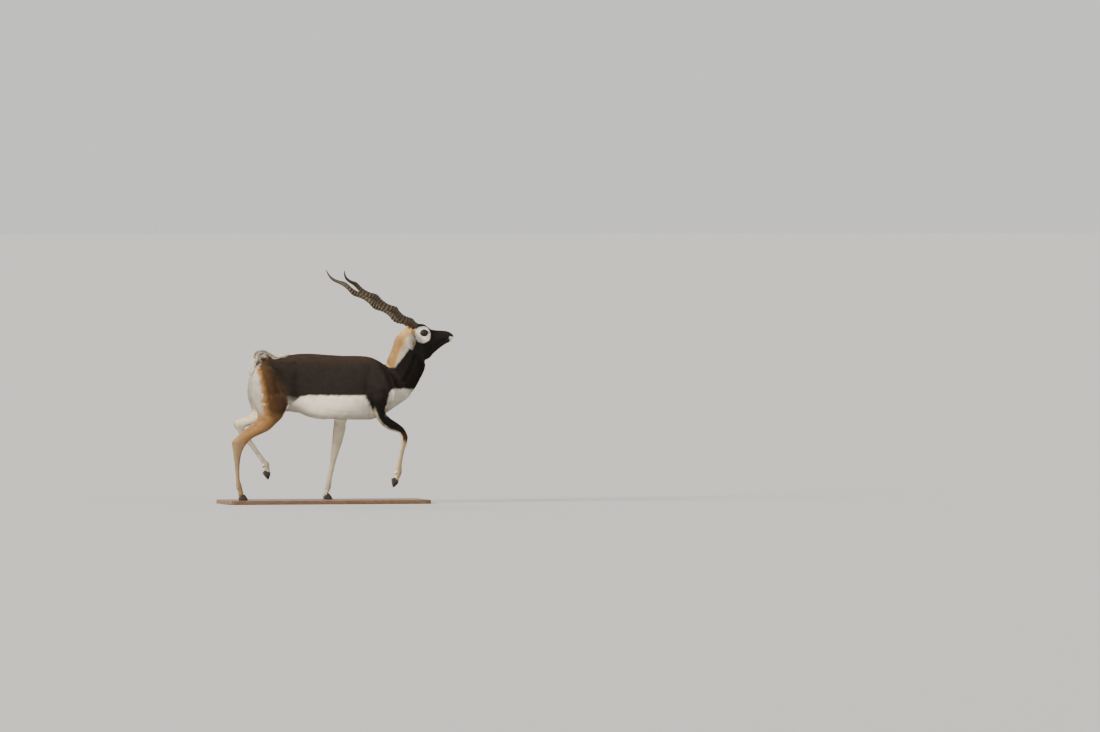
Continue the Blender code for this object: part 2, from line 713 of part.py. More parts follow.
def plane_cutter(name, centre, normal, half_size, depth, side):
    """A block that starts at a plane and reaches away along its normal."""
    normal = Vector(mirrored(normal, side)).normalized()
    across = normal.cross(Vector((0, 0, 1)))
    across = (across if across.length > 0.1 else normal.cross(Vector((1, 0, 0)))).normalized()
    up = across.cross(normal)
    centre = Vector(mirrored(centre, side))
    points = [
        centre + normal * d + (across * i + up * j) * half_size
        for d in (0, depth)
        for i, j in ((-1, -1), (1, -1), (1, 1), (-1, 1))
    ]
    faces = [(0, 1, 2, 3), (4, 5, 6, 7)] + [(k, (k + 1) % 4, 4 + (k + 1) % 4, 4 + k) for k in range(4)]
    return object_of(name, points, faces)


def head(looks):
    base, along = horn_frame()
    ear_along = Vector(EAR_ALONG).normalized()
    parts = [
        loft("skull", SKULL, sides=40, steps=6, lower=1.25),
        loft("jaw", JAW, sides=28, steps=6),
        loft("neck_loft", NECK, sides=36, steps=6),
    ]
    for side in (1, -1):
        pedicle = [Vector(mirrored(base + along * d, side)) for d in (-45, -20, 8)]
        parts.append(tube("pedicle", pedicle, [PEDICLE_RADIUS] * 3, 20))
        butt = [Vector(mirrored(Vector(EAR_BASE) + ear_along * d, side)) for d in (-30, -12, 8)]
        parts.append(tube("ear_butt", butt, [EAR_BUTT_RADIUS + extra for extra in (3, 1, 0)], 20))
    parts += [ellipsoid("swelling", *values, 14, 22) for values in (*HEAD_SWELLINGS, POLL)]
    whole = fused("head", parts, HEAD_VOXEL, 4, HEAD_TRIANGLES)
    boolean(whole, prism("cutter", side_of(NECK_TOP, (1, 1), GAP / 2), -300, 300), "INTERSECT", HEAD_SOLVER)
    tree = BVHTree.FromObject(whole, bpy.context.evaluated_depsgraph_get())
    line = [surface_place(tree, p)[0] for p in MOUTH_LINE]
    path = [Vector(mirrored(p, -1)) for p in reversed(line[1:])] + line
    nostrils = [surface_place(tree, mirrored(NOSTRIL_AT, side))[0] for side in (1, -1)]
    glands = [surface_place(tree, mirrored(GLAND_AT, side))[0] for side in (1, -1)]
    cuts = []
    for side in (1, -1):
        eye = mirrored(EYE_AT, side)
        lid, socket = [EYE_RADIUS + LID_THICKNESS] * 3, [EYE_RADIUS + GAP] * 3
        boolean(whole, ellipsoid("lid", eye, lid, 0, 14, 22), "UNION", HEAD_SOLVER)
        centre = (eye[0], eye[1] + side * (EYE_RADIUS + 6), eye[2])
        opening = ellipsoid("opening", centre, (LID_OPENING[0], 14, LID_OPENING[1]), LID_TILT, 12, 24)
        around_ball = ellipsoid("socket", eye, socket, 0, 12, 20)
        horn_face = plane_cutter("cutter", base, along, 30, 60, side)
        ear_face = plane_cutter("cutter", EAR_BASE, ear_along, 24, 60, side)
        for cutter in (opening, around_ball, horn_face, ear_face):
            boolean(whole, cutter, "DIFFERENCE", HEAD_SOLVER)
    cuts += [ellipsoid("nostril", place, NOSTRIL_SIZE, NOSTRIL_PITCH, 8, 12) for place in nostrils]
    cuts += [ellipsoid("gland", place, GLAND_SIZE, GLAND_PITCH, 8, 12) for place in glands]
    cuts.append(tube("mouth", path, [MOUTH_GROOVE] * len(path), 6))
    for cutter in cuts:
        boolean(whole, cutter, "DIFFERENCE", HEAD_SOLVER)
    keep_largest(whole)
    finished(whole, looks["coat"])


def eyes(look):
    for side, which in ((1, "left"), (-1, "right")):
        finished(ellipsoid(f"eye_{which}", mirrored(EYE_AT, side), [EYE_RADIUS] * 3, 0, 10, 16), look)


def horn_radius(share):
    return float(np.interp(share, *zip(*HORN_RADII)))


def horn(which, side, look):
    """A ringed horn wound in a slow screw, smooth at its tip."""
    base, along = horn_frame()
    ringed = HORN_RINGS * 2
    shares = [HORN_RINGED_LENGTH * (i / ringed) for i in range(ringed + 1)]
    shares += list(np.linspace(HORN_RINGED_LENGTH, 1.0, 9)[1:])
    axis = smooth_rows(HORN_AXIS, 24)
    lengths = np.concatenate([[0], np.cumsum([np.linalg.norm(b - a) for a, b in zip(axis, axis[1:])])])
    lengths /= lengths[-1]
    centres, radii = [], []
    for i, share in enumerate(shares):
        at = Vector([np.interp(share, lengths, [p[k] for p in axis]) for k in range(3)])
        ahead = Vector([np.interp(min(1, share + 0.02), lengths, [p[k] for p in axis]) for k in range(3)])
        behind = Vector([np.interp(max(0, share - 0.02), lengths, [p[k] for p in axis]) for k in range(3)])
        run = (ahead - behind).normalized()
        out = run.cross(Vector((0, 0, 1))).normalized()
        up = out.cross(run)
        turn = tau * (share - HORN_TWIST_START) / HORN_TWIST_PITCH
        reach = HORN_TWIST_REACH * min(1, share / 0.12) * (1 - 0.3 * share)
        at += (up * cos(turn) + out * sin(turn)) * float(reach)
        radius = horn_radius(share)
        if i <= ringed:
            fade = min(1, (HORN_RINGED_LENGTH - share) / 0.1)
            radius *= 1 + HORN_RING_HEIGHT * fade * (0.5 if i % 2 else -0.5)
        centres.append(Vector(mirrored(at, side)))
        radii.append(radius)
    shape = tube(f"horn_{which}", centres, radii, HORN_SIDES)
    boolean(shape, plane_cutter("cutter", base + along * GAP, -along, 60, 60, side), "DIFFERENCE")
    keep_largest(shape)
    finished(shape, look)


def ear(which, side, look):
    """A long leaf rolled into a cup, on a plug that meets the head's butt."""
    along = Vector(EAR_ALONG).normalized()
    back = Vector(EAR_BACK)
    back = (back - along * back.dot(along)).normalized()
    across = along.cross(back)
    base = Vector(EAR_BASE) + along * GAP
    rows, columns = 12, 9
    outer, inner = [], []
    for i in range(rows):
        share = i / (rows - 1)
        steps, spreads, halves = zip(*EAR_PROFILE)
        spread, half = radians(float(np.interp(share, steps, spreads))), float(np.interp(share, steps, halves))
        radius = half / (sin(spread) if spread < pi / 2 else 1)
        wall = min(EAR_WALL, 0.5 * radius)
        centre = base + along * (EAR_LENGTH * share) - back * (9 * sin(pi * share) * 0.6)
        for k in range(columns):
            angle = spread * (2 * k / (columns - 1) - 1)
            ray = back * cos(angle) + across * sin(angle)
            thin = wall * (1 - 0.5 * abs(2 * k / (columns - 1) - 1) ** 3)
            shift = -back * (radius - half) * 0.8
            outer.append(centre + shift + ray * radius)
            inner.append(centre + shift + ray * (radius - thin))
    points = [Vector(mirrored(p, side)) for p in outer + inner]
    count, faces = rows * columns, []
    for layer in (0, count):
        for i in range(rows - 1):
            for k in range(columns - 1):
                a = layer + i * columns + k
                faces += [(a, a + 1, a + columns + 1), (a, a + columns + 1, a + columns)]
    rim = list(range(columns)) + [i * columns + columns - 1 for i in range(1, rows)]
    rim += [(rows - 1) * columns + k for k in range(columns - 2, -1, -1)]
    rim += [i * columns for i in range(rows - 2, 0, -1)]
    for a, b in zip(rim, rim[1:] + rim[:1]):
        faces += [(a, b, b + count), (a, b + count, a + count)]
    leaf = object_of(f"ear_{which}", points, faces)
    plug = [Vector(mirrored(base + along * d, side)) for d in (0, 14, 26)]
    boolean(leaf, tube("plug", plug, [12.6, 12.6, 7], 14), "UNION")
    keep_largest(leaf)
    finished(leaf, look)


def lock(path, facing):
    """A flat, tapered lock of hair along a path, its broad side turned to one direction."""
    rings = []
    for i, centre in enumerate(path):
        ahead = path[min(i + 1, len(path) - 1)] - path[max(i - 1, 0)]
        across = ahead.cross(facing).normalized() * LOCK_WIDTHS[i]
        out = across.cross(ahead).normalized() * LOCK_THICKNESSES[i]
        rings.append([centre + across * cos(tau * k / 6) + out * sin(tau * k / 6) for k in range(6)])
    return skin_rings("lock", rings)


def tail(look, surface):
    """The curled tail with its fringe spread over the croup and down the buttocks."""
    shape = loft("tail", TAIL, sides=10, steps=2)
    locks = []
    for side in (1, -1):
        for places in TAIL_LOCKS:
            path, facing = [Vector(mirrored(places[0], side))], Vector((0, 0, 0))
            for place, lift in zip(places[1:], LOCK_LIFTS[1:]):
                on_coat, normal = surface_place(surface, mirrored(place, side))
                path.append(on_coat + normal * lift)
                facing += normal
            locks.append(lock(path, facing.normalized()))
    bend = []
    for x, z, croup_x, croup_z in TAIL_BEND:
        on_coat, normal = surface_place(surface, (croup_x, 0, croup_z))
        low = on_coat + normal * TAIL_BEND_HEIGHT
        bend.append((x, z, low.x, low.z, 0, TAIL_BEND_HALF_WIDTH, 0.5))
    locks.append(loft("bend", bend, sides=8, steps=1))
    unite(shape, locks)
    keep_largest(shape)
    finished(shape, look)


def main():
    for obj in list(bpy.data.objects):
        bpy.data.objects.remove(obj)
    looks = {
        "coat": material("coat", (0.035, 0.025, 0.02), 0.75),
        "pale": material("pale_coat", (0.75, 0.7, 0.6), 0.8),
        "horn": material("horn", (0.09, 0.075, 0.055), 0.5),
        "hoof": material("hoof", (0.03, 0.028, 0.026), 0.45),
        "eye": material("eye", (0.02, 0.012, 0.008), 0.05),
        "board": material("board", (0.16, 0.1, 0.06), 0.5),
    }
    base_board(looks["board"])
    croup = part_body(looks)
    head(looks)
    eyes(looks["eye"])
    for which, side in (("left", 1), ("right", -1)):
        horn(which, side, looks["horn"])
        ear(which, side, looks["pale"])
    tail(looks["pale"], croup)
    feet = (
        ("fore", "right", RIGHT_FORE_LEG[6:], (304, -56, 103), -81, -1, 0.0, (297, 141)),
        ("fore", "left", LEFT_FORE_LEG[4:], (-54, 55, 24.5), 0, 1, GAP, (-54, 63)),
        ("hind", "right", RIGHT_HIND_LEG[5:], (-534, -58, 24.5), 0, -1, GAP, (-556, 67)),
        ("hind", "left", LEFT_HIND_LEG[4:], (-369, 60, 148), -52, 1, 0.0, (-393, 180)),
    )
    for pair, which, rows, coronet, turn, side, sole_gap, dewclaws in feet:
        name = f"{pair}_leg_lower_{which}"
        lower_leg(name, rows, coronet, turn, LOWER_CUTS[name], side, dewclaws, looks["pale"])
        hoof(f"{pair}_hoof_{which}", coronet, turn, sole_gap, looks["hoof"])


main()
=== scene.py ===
"""The looks of a life-size male blackbuck in a display walk: skin, coat, tail, ears, eyes, horns, hooves, board.

Places are millimetres above the board's top, +X the way the animal faces and +Y its left side.
"""
from math import atan2, cos, hypot, pi, radians, sin, tan, tau

import bmesh
import bpy
import numpy as np
from mathutils import Matrix, Vector
from mathutils.bvhtree import BVHTree


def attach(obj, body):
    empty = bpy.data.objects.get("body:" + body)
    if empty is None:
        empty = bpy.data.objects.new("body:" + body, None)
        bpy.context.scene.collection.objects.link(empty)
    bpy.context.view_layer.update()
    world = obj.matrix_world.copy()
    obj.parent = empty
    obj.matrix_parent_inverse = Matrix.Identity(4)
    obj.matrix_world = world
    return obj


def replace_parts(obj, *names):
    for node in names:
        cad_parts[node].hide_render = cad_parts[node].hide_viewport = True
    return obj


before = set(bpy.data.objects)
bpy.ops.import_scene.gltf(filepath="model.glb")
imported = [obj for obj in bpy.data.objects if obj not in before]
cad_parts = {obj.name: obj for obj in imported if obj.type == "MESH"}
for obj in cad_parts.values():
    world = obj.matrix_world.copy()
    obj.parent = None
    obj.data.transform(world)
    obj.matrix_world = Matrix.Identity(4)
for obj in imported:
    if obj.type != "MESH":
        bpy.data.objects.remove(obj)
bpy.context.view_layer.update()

MM = 0.001
BOARD_TOP = 20
chance = np.random.default_rng(11)

# The camera stands far off, low over the ground, and a little ahead of the animal.
PIXELS_PER_RADIAN = 11458
CAMERA_DISTANCE = 60.6
CAMERA_TURN = -12
PHOTO_WIDTH, PHOTO_MIDDLE = 1100, (550, 366)
ANIMAL_COLUMN, HORIZON_ROW, GROUND_ROW = 338, 194, 499.5

SKIN_VOXEL = 4.1
GAP_CLOSED = 0.3
FACE_FROM = 352

EYE_AT = (457, 37, 881)
EYE_RADIUS = 18
LID_OPENING = (16.5, 12.0)
LID_TILT = 10
LID_THICKNESS = 2.6

MOUTH_LINE = ((650, 0, 850), (628, 0, 848.5), (613, 0, 848), (596, 0, 845), (578, 0, 838), (558, 0, 829))
NOSTRIL_AT = (615, 16, 866)
GLAND_AT = (503, 40, 860)

HORN_AXIS = (
    (410, 21, 918), (362, 42, 946), (318, 70, 973), (275, 93, 1001), (232, 109, 1029), (186, 121, 1057),
    (127, 133, 1093), (76, 144, 1125), (35, 166, 1151), (3, 202, 1180), (-18, 240, 1208),
)
HORN_RADII = ((0, 21), (0.12, 21.5), (0.35, 19), (0.55, 16.5), (0.73, 12.5), (0.86, 7.5), (0.94, 4.5), (1.0, 1.6))
HORN_RINGS = 28
HORN_RINGED_LENGTH = 0.83
HORN_RING_HEIGHT = 0.17
HORN_TWIST_PITCH, HORN_TWIST_START, HORN_TWIST_REACH = 0.235, 0.043, 7

EAR_BASE = (381, 56, 872)
EAR_ALONG = (-0.10, 0.77, -0.63)
EAR_BACK = (-0.45, 0.55, 0.70)
EAR_LENGTH = 126

HOOF_HEEL, HOOF_TOE = -18, 28
CLAW_WIDTH, CLEFT = 18.5, 1.6
CORONET_REAR, CORONET_FRONT = (-20, 16), (6, 33)
# Each foot's coronet, its turn in side view and how far its sole lies off the board.
FEET = (
    ("fore", "right", (304, -56, 103), -81, 0.0),
    ("fore", "left", (-54, 55, 24.5), 0, 0.3),
    ("hind", "right", (-534, -58, 24.5), 0, 0.3),
    ("hind", "left", (-369, 60, 148), -52, 0.0),
)

# The tail's core: front or upper edge, rear or lower edge, half width.
TAIL = (
    (-386, 738, -412, 712, 12), (-414, 741, -430, 722, 15), (-425, 752, -448, 741, 18), (-422, 762, -446, 770, 20),
    (-409, 763, -417, 787, 22), (-386, 760, -389, 785, 23), (-358, 751, -357, 775, 22), (-328, 748, -328, 767, 19),
    (-300, 751, -301, 765, 14), (-277, 755, -277, 762, 6),
)
# The hair that fills the tail's bend, in the same way.
TAIL_BEND = (
    (-424, 764, -416, 738, 9), (-413, 768, -408, 740, 10), (-400, 767, -396, 741, 10), (-384, 765, -382, 744, 9),
    (-367, 761, -367, 749, 8), (-352, 757, -352, 753, 4),
)
# Middle lines of the legs and the tail, which the hair follows.
LINES = {
    "fore_right": (
        (222, -60, 640), (212, -68, 560), (201, -72, 525), (207, -73, 478), (219, -72, 444), (241, -70, 416),
        (272, -68, 394), (302, -66, 380), (328, -64, 363), (344, -63, 334), (343, -62, 302), (335, -60, 266),
        (326, -58, 220), (318, -57, 178), (316, -56, 146), (305, -56, 105), (296, -56, 75)),
    "fore_left": (
        (170, 60, 640), (107, 60, 545), (58, 68, 472), (28, 68, 416), (20, 66, 368), (10, 62, 315), (0, 60, 268),
        (-10, 58, 230), (-16, 57, 193), (-26, 56, 151), (-36, 55, 112), (-41, 55, 78), (-50, 55, 25), (-50, 55, 0)),
    "hind_right": (
        (-390, -50, 660), (-382, -58, 560), (-372, -64, 500), (-377, -68, 450), (-406, -68, 410), (-446, -68, 376),
        (-487, -66, 352), (-520, -64, 330), (-545, -62, 305), (-552, -61, 276), (-556, -60, 241), (-556, -60, 193),
        (-555, -59, 146), (-552, -58, 109), (-547, -58, 81), (-535, -58, 25), (-530, -58, 0)),
    "hind_left": (
        (-390, 50, 660), (-382, 58, 567), (-380, 66, 503), (-405, 68, 448), (-456, 67, 423), (-496, 66, 408),
        (-515, 65, 401), (-520, 64, 390), (-515, 63, 376), (-503, 62, 356), (-482, 61, 326), (-451, 60, 287),
        (-415, 60, 238), (-391, 60, 205), (-378, 60, 188), (-369, 60, 150), (-362, 60, 120)),
    "tail": tuple(((ax + bx) / 2, 0, (az + bz) / 2) for ax, az, bx, bz, _ in TAIL),
}
# Hair by region: length, width, how deep the skin lies under the coat, lift in degrees, tufts per square centimetre.
REGIONS = {
    "trunk": (19, 1.8, 2.4, 6, 25.0),
    "neck": (19, 2.0, 2.8, 8, 24.0),
    "head": (8, 1.3, 1.2, 11, 42.0),
    "ear": (8, 1.1, 0.0, 10, 55.0),
    "upper_leg": (14, 1.7, 2.0, 7, 28.0),
    "lower_leg": (8, 1.05, 1.2, 7, 52.0),
    "tail": (27, 2.0, 6.0, 16, 34.0),
}
# The tail's fringe: locks over the croup, then those that hang from its root, each by places on one side.
TAIL_LOCKS = (
    ((-424, 8, 768), (-404, 25, 764), (-378, 35, 756), (-352, 37, 752), (-330, 34, 750)),
    ((-392, 12, 772), (-370, 26, 766), (-346, 32, 758), (-320, 31, 756), (-298, 26, 756)),
    ((-352, 10, 764), (-330, 20, 762), (-308, 23, 762), (-288, 20, 764), (-270, 14, 766)),
    ((-438, 4, 772), (-452, 6, 752), (-464, 9, 728), (-476, 11, 698), (-484, 10, 662)),
    ((-430, 11, 768), (-446, 17, 748), (-458, 23, 724), (-468, 26, 696), (-474, 26, 664)),
)
LOCKS_OVER_CROUP = 3
LOCK_LIFTS = (0, 10, 7.5, 6.5, 6)
LOCK_WIDTHS = (7, 9, 8, 5.5, 1.5)
STRANDS_A_LOCK = 150


def up(point):
    """Metres in the row frame from millimetres above the board."""
    return Vector((point[0], point[1], point[2] + BOARD_TOP)) * MM


def mirrored(point, side):
    return (point[0], point[1] * side, point[2])


def pitch_matrix(degrees):
    """A turn in side view that lifts the front for a positive angle."""
    return Matrix.Rotation(-radians(degrees), 3, "Y")


def smooth_rows(rows, steps):
    """Rows of numbers with a Catmull-Rom curve's rows between them."""
    known = np.array(rows, float)
    padded = np.vstack([2 * known[0] - known[1], known, 2 * known[-1] - known[-2]])
    out = []
    for i in range(len(known) - 1):
        a, b, c, d = padded[i : i + 4]
        for k in range(steps):
            t = k / steps
            out.append(0.5 * (2 * b + (c - a) * t + (2 * a - 5 * b + 4 * c - d) * t**2
                              + (3 * b - a - 3 * c + d) * t**3))
    return out + [known[-1]]


def ease(low, high, values):
    """0 below low, 1 above high and smooth between."""
    share = np.clip((np.asarray(values, float) - low) / (high - low), 0, 1)
    return share * share * (3 - 2 * share)


def unit(rows):
    return rows / np.linalg.norm(rows, axis=1)[:, None].clip(1e-9)


def object_of(name, points, faces):
    """An object from points in millimetres above the board, its faces turned outwards."""
    mesh = bpy.data.meshes.new(name)
    mesh.from_pydata([up(p) for p in points], [], faces)
    shape = bmesh.new()
    shape.from_mesh(mesh)
    bmesh.ops.recalc_face_normals(shape, faces=shape.faces)
    shape.to_mesh(mesh)
    shape.free()
    return linked(name, mesh)


def linked(name, mesh):
    obj = bpy.data.objects.new(name, mesh)
    bpy.context.scene.collection.objects.link(obj)
    return obj


def skin_rings(name, rings):
    """A closed tube through rings of equally many points, with a fan at each end."""
    sides = len(rings[0])
    points = [p for ring in rings for p in ring]
    faces = []
    for i in range(len(rings) - 1):
        for k in range(sides):
            a, b = i * sides + k, i * sides + (k + 1) % sides
            faces.append((a, b, b + sides, a + sides))
    for start in (0, (len(rings) - 1) * sides):
        middle = len(points)
        points.append(sum((points[start + k] for k in range(sides)), Vector()) / sides)
        faces += [(start + k, start + (k + 1) % sides, middle) for k in range(sides)]
    return object_of(name, points, faces)


def settle(obj):
    """Replaces an object's mesh by what its modifiers make of it."""
    graph = bpy.context.evaluated_depsgraph_get()
    mesh = bpy.data.meshes.new_from_object(obj.evaluated_get(graph))
    old = obj.data
    obj.modifiers.clear()
    obj.data = mesh
    bpy.data.meshes.remove(old)


def vectors(items, what, width=3, kind=np.float32):
    """One value of every item of a mesh as rows of numbers."""
    out = np.empty(len(items) * width, kind)
    items.foreach_get(what, out)
    return out.reshape(-1, width)


class Net:
    """The places of a mesh's points in millimetres above the board, and what joins them."""

    def __init__(self, mesh):
        self.mesh = mesh
        self.count = len(mesh.vertices)
        self.at = vectors(mesh.vertices, "co").astype(float) / MM - (0, 0, BOARD_TOP)
        ends = vectors(mesh.edges, "vertices", 2, np.int32)
        self.first, self.second = np.concatenate([ends, ends[:, ::-1]]).T
        self.degree = np.bincount(self.first, minlength=self.count).clip(1)

    def around(self, values):
        """The mean of each point's neighbours."""
        flat = values.reshape(self.count, -1)
        mean = np.stack(
            [np.bincount(self.first, flat[self.second, k], self.count) for k in range(flat.shape[1])], axis=1)
        return (mean / self.degree[:, None]).reshape(values.shape)

    def softened(self, values, rounds):
        for _ in range(rounds):
            values = 0.5 * values + 0.5 * self.around(values)
        return values

    def relax(self, rounds, weight=None, pull=0.5, push=-0.52):
        """Evens the surface without shrinking it."""
        for _ in range(rounds):
            for share in (pull, push):
                step = share * (self.around(self.at) - self.at)
                self.at = self.at + (step if weight is None else step * weight[:, None])

    def write(self):
        self.mesh.vertices.foreach_set("co", ((self.at + (0, 0, BOARD_TOP)) * MM).astype(np.float32).ravel())
        self.mesh.update()

    def normals(self):
        self.write()
        return vectors(self.mesh.vertex_normals, "vector").astype(float)


# Shader maths: a socket wrapped so that sums and products of values add their own nodes.
class Socket:
    def __init__(self, tree, out):
        self.tree, self.out = tree, out

    def _math(self, operation, *values):
        return self.tree.node("ShaderNodeMath", {"operation": operation}, dict(enumerate(values)))[0]

    def __add__(self, other):
        return self._math("ADD", self, other)

    def __sub__(self, other):
        return self._math("SUBTRACT", self, other)

    def __rsub__(self, other):
        return self._math("SUBTRACT", other, self)

    def __mul__(self, other):
        return self._math("MULTIPLY", self, other)

    def __pow__(self, other):
        return self._math("POWER", self, other)

    __radd__, __rmul__ = __add__, __mul__


class Finish:
    """A material whose nodes are added one by one."""

    def __init__(self, name):
        self.material = bpy.data.materials.new(name)
        self.material.use_nodes = True
        self.nodes, self.links = self.material.node_tree.nodes, self.material.node_tree.links
        self.shader = self.nodes["Principled BSDF"]

    def node(self, kind, settings=None, values=None):
        """A node of a type with its settings, then the values or links of its sockets; gives its outputs."""
        made = self.nodes.new(kind)
        for key, value in (settings or {}).items():
            if key == "stops":
                ramp = made.color_ramp
                while len(ramp.elements) < len(value):
                    ramp.elements.new(0.5)
                for element, (place, colour) in zip(ramp.elements, value):
                    element.position, element.color = place, (*colour, 1.0)
            else:
                setattr(made, key, value)
        for key, value in (values or {}).items():
            self.feed(made.inputs[key], value)
        return [Socket(self, out) for out in made.outputs]

    def feed(self, target, value):
        if isinstance(value, Socket):
            self.links.new(value.out, target)
        elif isinstance(value, (tuple, list)) and len(value) == 3 and target.type == "RGBA":
            target.default_value = (*value, 1.0)
        else:
            target.default_value = value

    def set(self, **values):
        for key, value in values.items():
            self.feed(self.shader.inputs[key.replace("_", " ")], value)
        return self

    def place(self):
        return self.node("ShaderNodeTexCoord")[3]

    def noise(self, scale, detail=3, stretch=None, roughness=0.5):
        """Noise over the object, by how many waves to the metre; stretch scales each axis."""
        at = self.place()
        if stretch:
            at = self.node("ShaderNodeMapping", None, {"Vector": at, "Scale": stretch})[0]
        return self.node("ShaderNodeTexNoise", None, {
            "Vector": at, "Scale": scale, "Detail": detail, "Roughness": roughness})[0]

    def mix(self, share, a, b, how="MIX"):
        out = self.node("ShaderNodeMix", {"data_type": "RGBA", "blend_type": how}, {0: share, 6: a, 7: b})
        return out[2]

    def span(self, value, low, high, to_low=0.0, to_high=1.0):
        return self.node("ShaderNodeMapRange", None, {0: value, 1: low, 2: high, 3: to_low, 4: to_high})[0]

    def attribute(self, name):
        return self.node("ShaderNodeAttribute", {"attribute_name": name})

    def bump(self, height, distance, strength=1.0):
        made = self.node("ShaderNodeBump", None, {"Height": height, "Distance": distance, "Strength": strength})
        self.set(Normal=made[0])
        return self


def paint_mesh(mesh, name, colours):
    layer = mesh.color_attributes.new(name, "FLOAT_COLOR", "POINT")
    full = np.ones((len(mesh.vertices), 4), np.float32)
    full[:, :3] = colours
    layer.data.foreach_set("color", full.ravel())


def distance_to_outline(x, z, outline):
    """Signed distance in side view to a closed outline, positive inside."""
    far = np.full(len(x), 1e9)
    inside = np.zeros(len(x), bool)
    for (ax, az), (bx, bz) in zip(outline, outline[1:] + outline[:1]):
        dx, dz = bx - ax, bz - az
        t = np.clip(((x - ax) * dx + (z - az) * dz) / (dx * dx + dz * dz), 0, 1)
        far = np.minimum(far, np.hypot(x - ax - t * dx, z - az - t * dz))
        if az != bz:
            crosses = ((az > z) != (bz > z)) & (x < ax + (z - az) * dx / (bz - az))
            inside ^= crosses
    return np.where(inside, far, -far)


def along_line(at, line):
    """For each point: its distance to a line of points, the way along it there, and the share of its length."""
    line = np.array(line, float)
    starts, steps = line[:-1], np.diff(line, axis=0)
    lengths = np.linalg.norm(steps, axis=1)
    before = np.concatenate([[0], np.cumsum(lengths)[:-1]])
    best = np.full(len(at), 1e9)
    way = np.zeros((len(at), 3))
    share = np.zeros(len(at))
    for start, step, length, run in zip(starts, steps, lengths, before):
        t = np.clip((at - start) @ step / length**2, 0, 1)
        away = np.linalg.norm(at - start - t[:, None] * step, axis=1)
        near = away < best
        best[near], way[near], share[near] = away[near], step / length, (run + t[near] * length) / lengths.sum()
    return best, way, share


# Skin: one surface over copies of the solids of flesh.
LEGS = [f"{end}_leg_{part}_{side}" for end in ("fore", "hind") for part in ("upper", "lower") for side in ("left", "right")]
FLESH = ["torso", "neck", "head", "tail", *LEGS]


def grown_copy(node):
    """Points and faces of a solid in millimetres above the board, grown by the gap to its neighbours."""
    shape = bmesh.new()
    shape.from_mesh(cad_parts[node].data)
    bmesh.ops.remove_doubles(shape, verts=shape.verts, dist=1e-6)
    shape.normal_update()
    points = [(v.co + v.normal * GAP_CLOSED * MM) / MM - Vector((0, 0, BOARD_TOP)) for v in shape.verts]
    faces = [[v.index for v in f.verts] for f in shape.faces]
    shape.free()
    return points, faces


def tube_of(rings):
    """Points and faces of a closed tube."""
    sides = len(rings[0])
    points = [Vector(p) for ring in rings for p in ring]
    faces = [
        (i * sides + k, i * sides + (k + 1) % sides, (i + 1) * sides + (k + 1) % sides, (i + 1) * sides + k)
        for i in range(len(rings) - 1) for k in range(sides)
    ]
    faces += [tuple(range(sides))[::-1], tuple((len(rings) - 1) * sides + k for k in range(sides))]
    return points, faces


def ball(centre, radius):
    rings = []
    for i in range(1, 12):
        a = pi * i / 12
        rings.append([
            (centre[0] + radius * sin(a) * cos(tau * k / 20), centre[1] + radius * sin(a) * sin(tau * k / 20),
             centre[2] - radius * cos(a)) for k in range(20)])
    return tube_of(rings)


def oval_tube(rows):
    """A tube through ovals in the middle plane, each by two opposite points and its half width."""
    rings = []
    for ax, az, bx, bz, half in smooth_rows(rows, 4):
        middle, arm = Vector(((ax + bx) / 2, 0, (az + bz) / 2)), Vector(((bx - ax) / 2, 0, (bz - az) / 2))
        rings.append([middle + arm * cos(tau * k / 20) + Vector((0, half * sin(tau * k / 20), 0)) for k in range(20)])
    return tube_of(rings)


def ear_shape(side):
    """A leaf rolled into a cup: its outer face, its inner face and the rim between them."""
    along = Vector(EAR_ALONG).normalized()
    back = Vector(EAR_BACK)
    back = (back - along * back.dot(along)).normalized()
    across = along.cross(back)
    profile = np.array((
        (-0.12, 165, 11), (0.0, 150, 13), (0.15, 128, 16), (0.35, 85, 23.5), (0.55, 70, 25.5), (0.75, 63, 21),
        (0.9, 56, 12), (1.0, 48, 3)))
    base, rows, columns, wall = Vector(EAR_BASE), 44, 34, 1.9
    grid = []
    for i in range(rows):
        share = -0.12 + 1.11 * i / (rows - 1)
        spread = radians(float(np.interp(share, profile[:, 0], profile[:, 1])))
        half = float(np.interp(share, profile[:, 0], profile[:, 2]))
        radius = half / (sin(spread) if spread < pi / 2 else 1)
        centre = base + along * (EAR_LENGTH * share) - back * (5.4 * sin(pi * max(0, share)))
        shift = -back * (radius - half) * 0.8
        row = []
        for k in range(2 * columns):
            inside = k >= columns
            place = 2 * (2 * columns - 1 - k if inside else k) / (columns - 1) - 1
            angle = spread * place
            # The rim's edges roll a little outwards, and low ribs run along the inner face.
            roll = 1.2 * abs(place) ** 6
            rib = 0.5 * cos(7 * place) * min(1, max(0, share) * 4) if inside else 0
            thick = wall * (1 - 0.75 * abs(place) ** 5) if inside else 0
            ray = back * cos(angle) + across * sin(angle)
            row.append(mirrored(centre + shift + ray * (radius - thick + roll + rib), side))
        grid.append(row)
    return tube_of(grid)


def gather(parts):
    """One list of points and faces from several, with the part that each face came from."""
    points, faces, owner = [], [], []
    for number, (some_points, some_faces) in enumerate(parts):
        start = len(points)
        points += some_points
        faces += [[start + k for k in face] for face in some_faces]
        owner += [number] * len(some_faces)
    return points, faces, owner


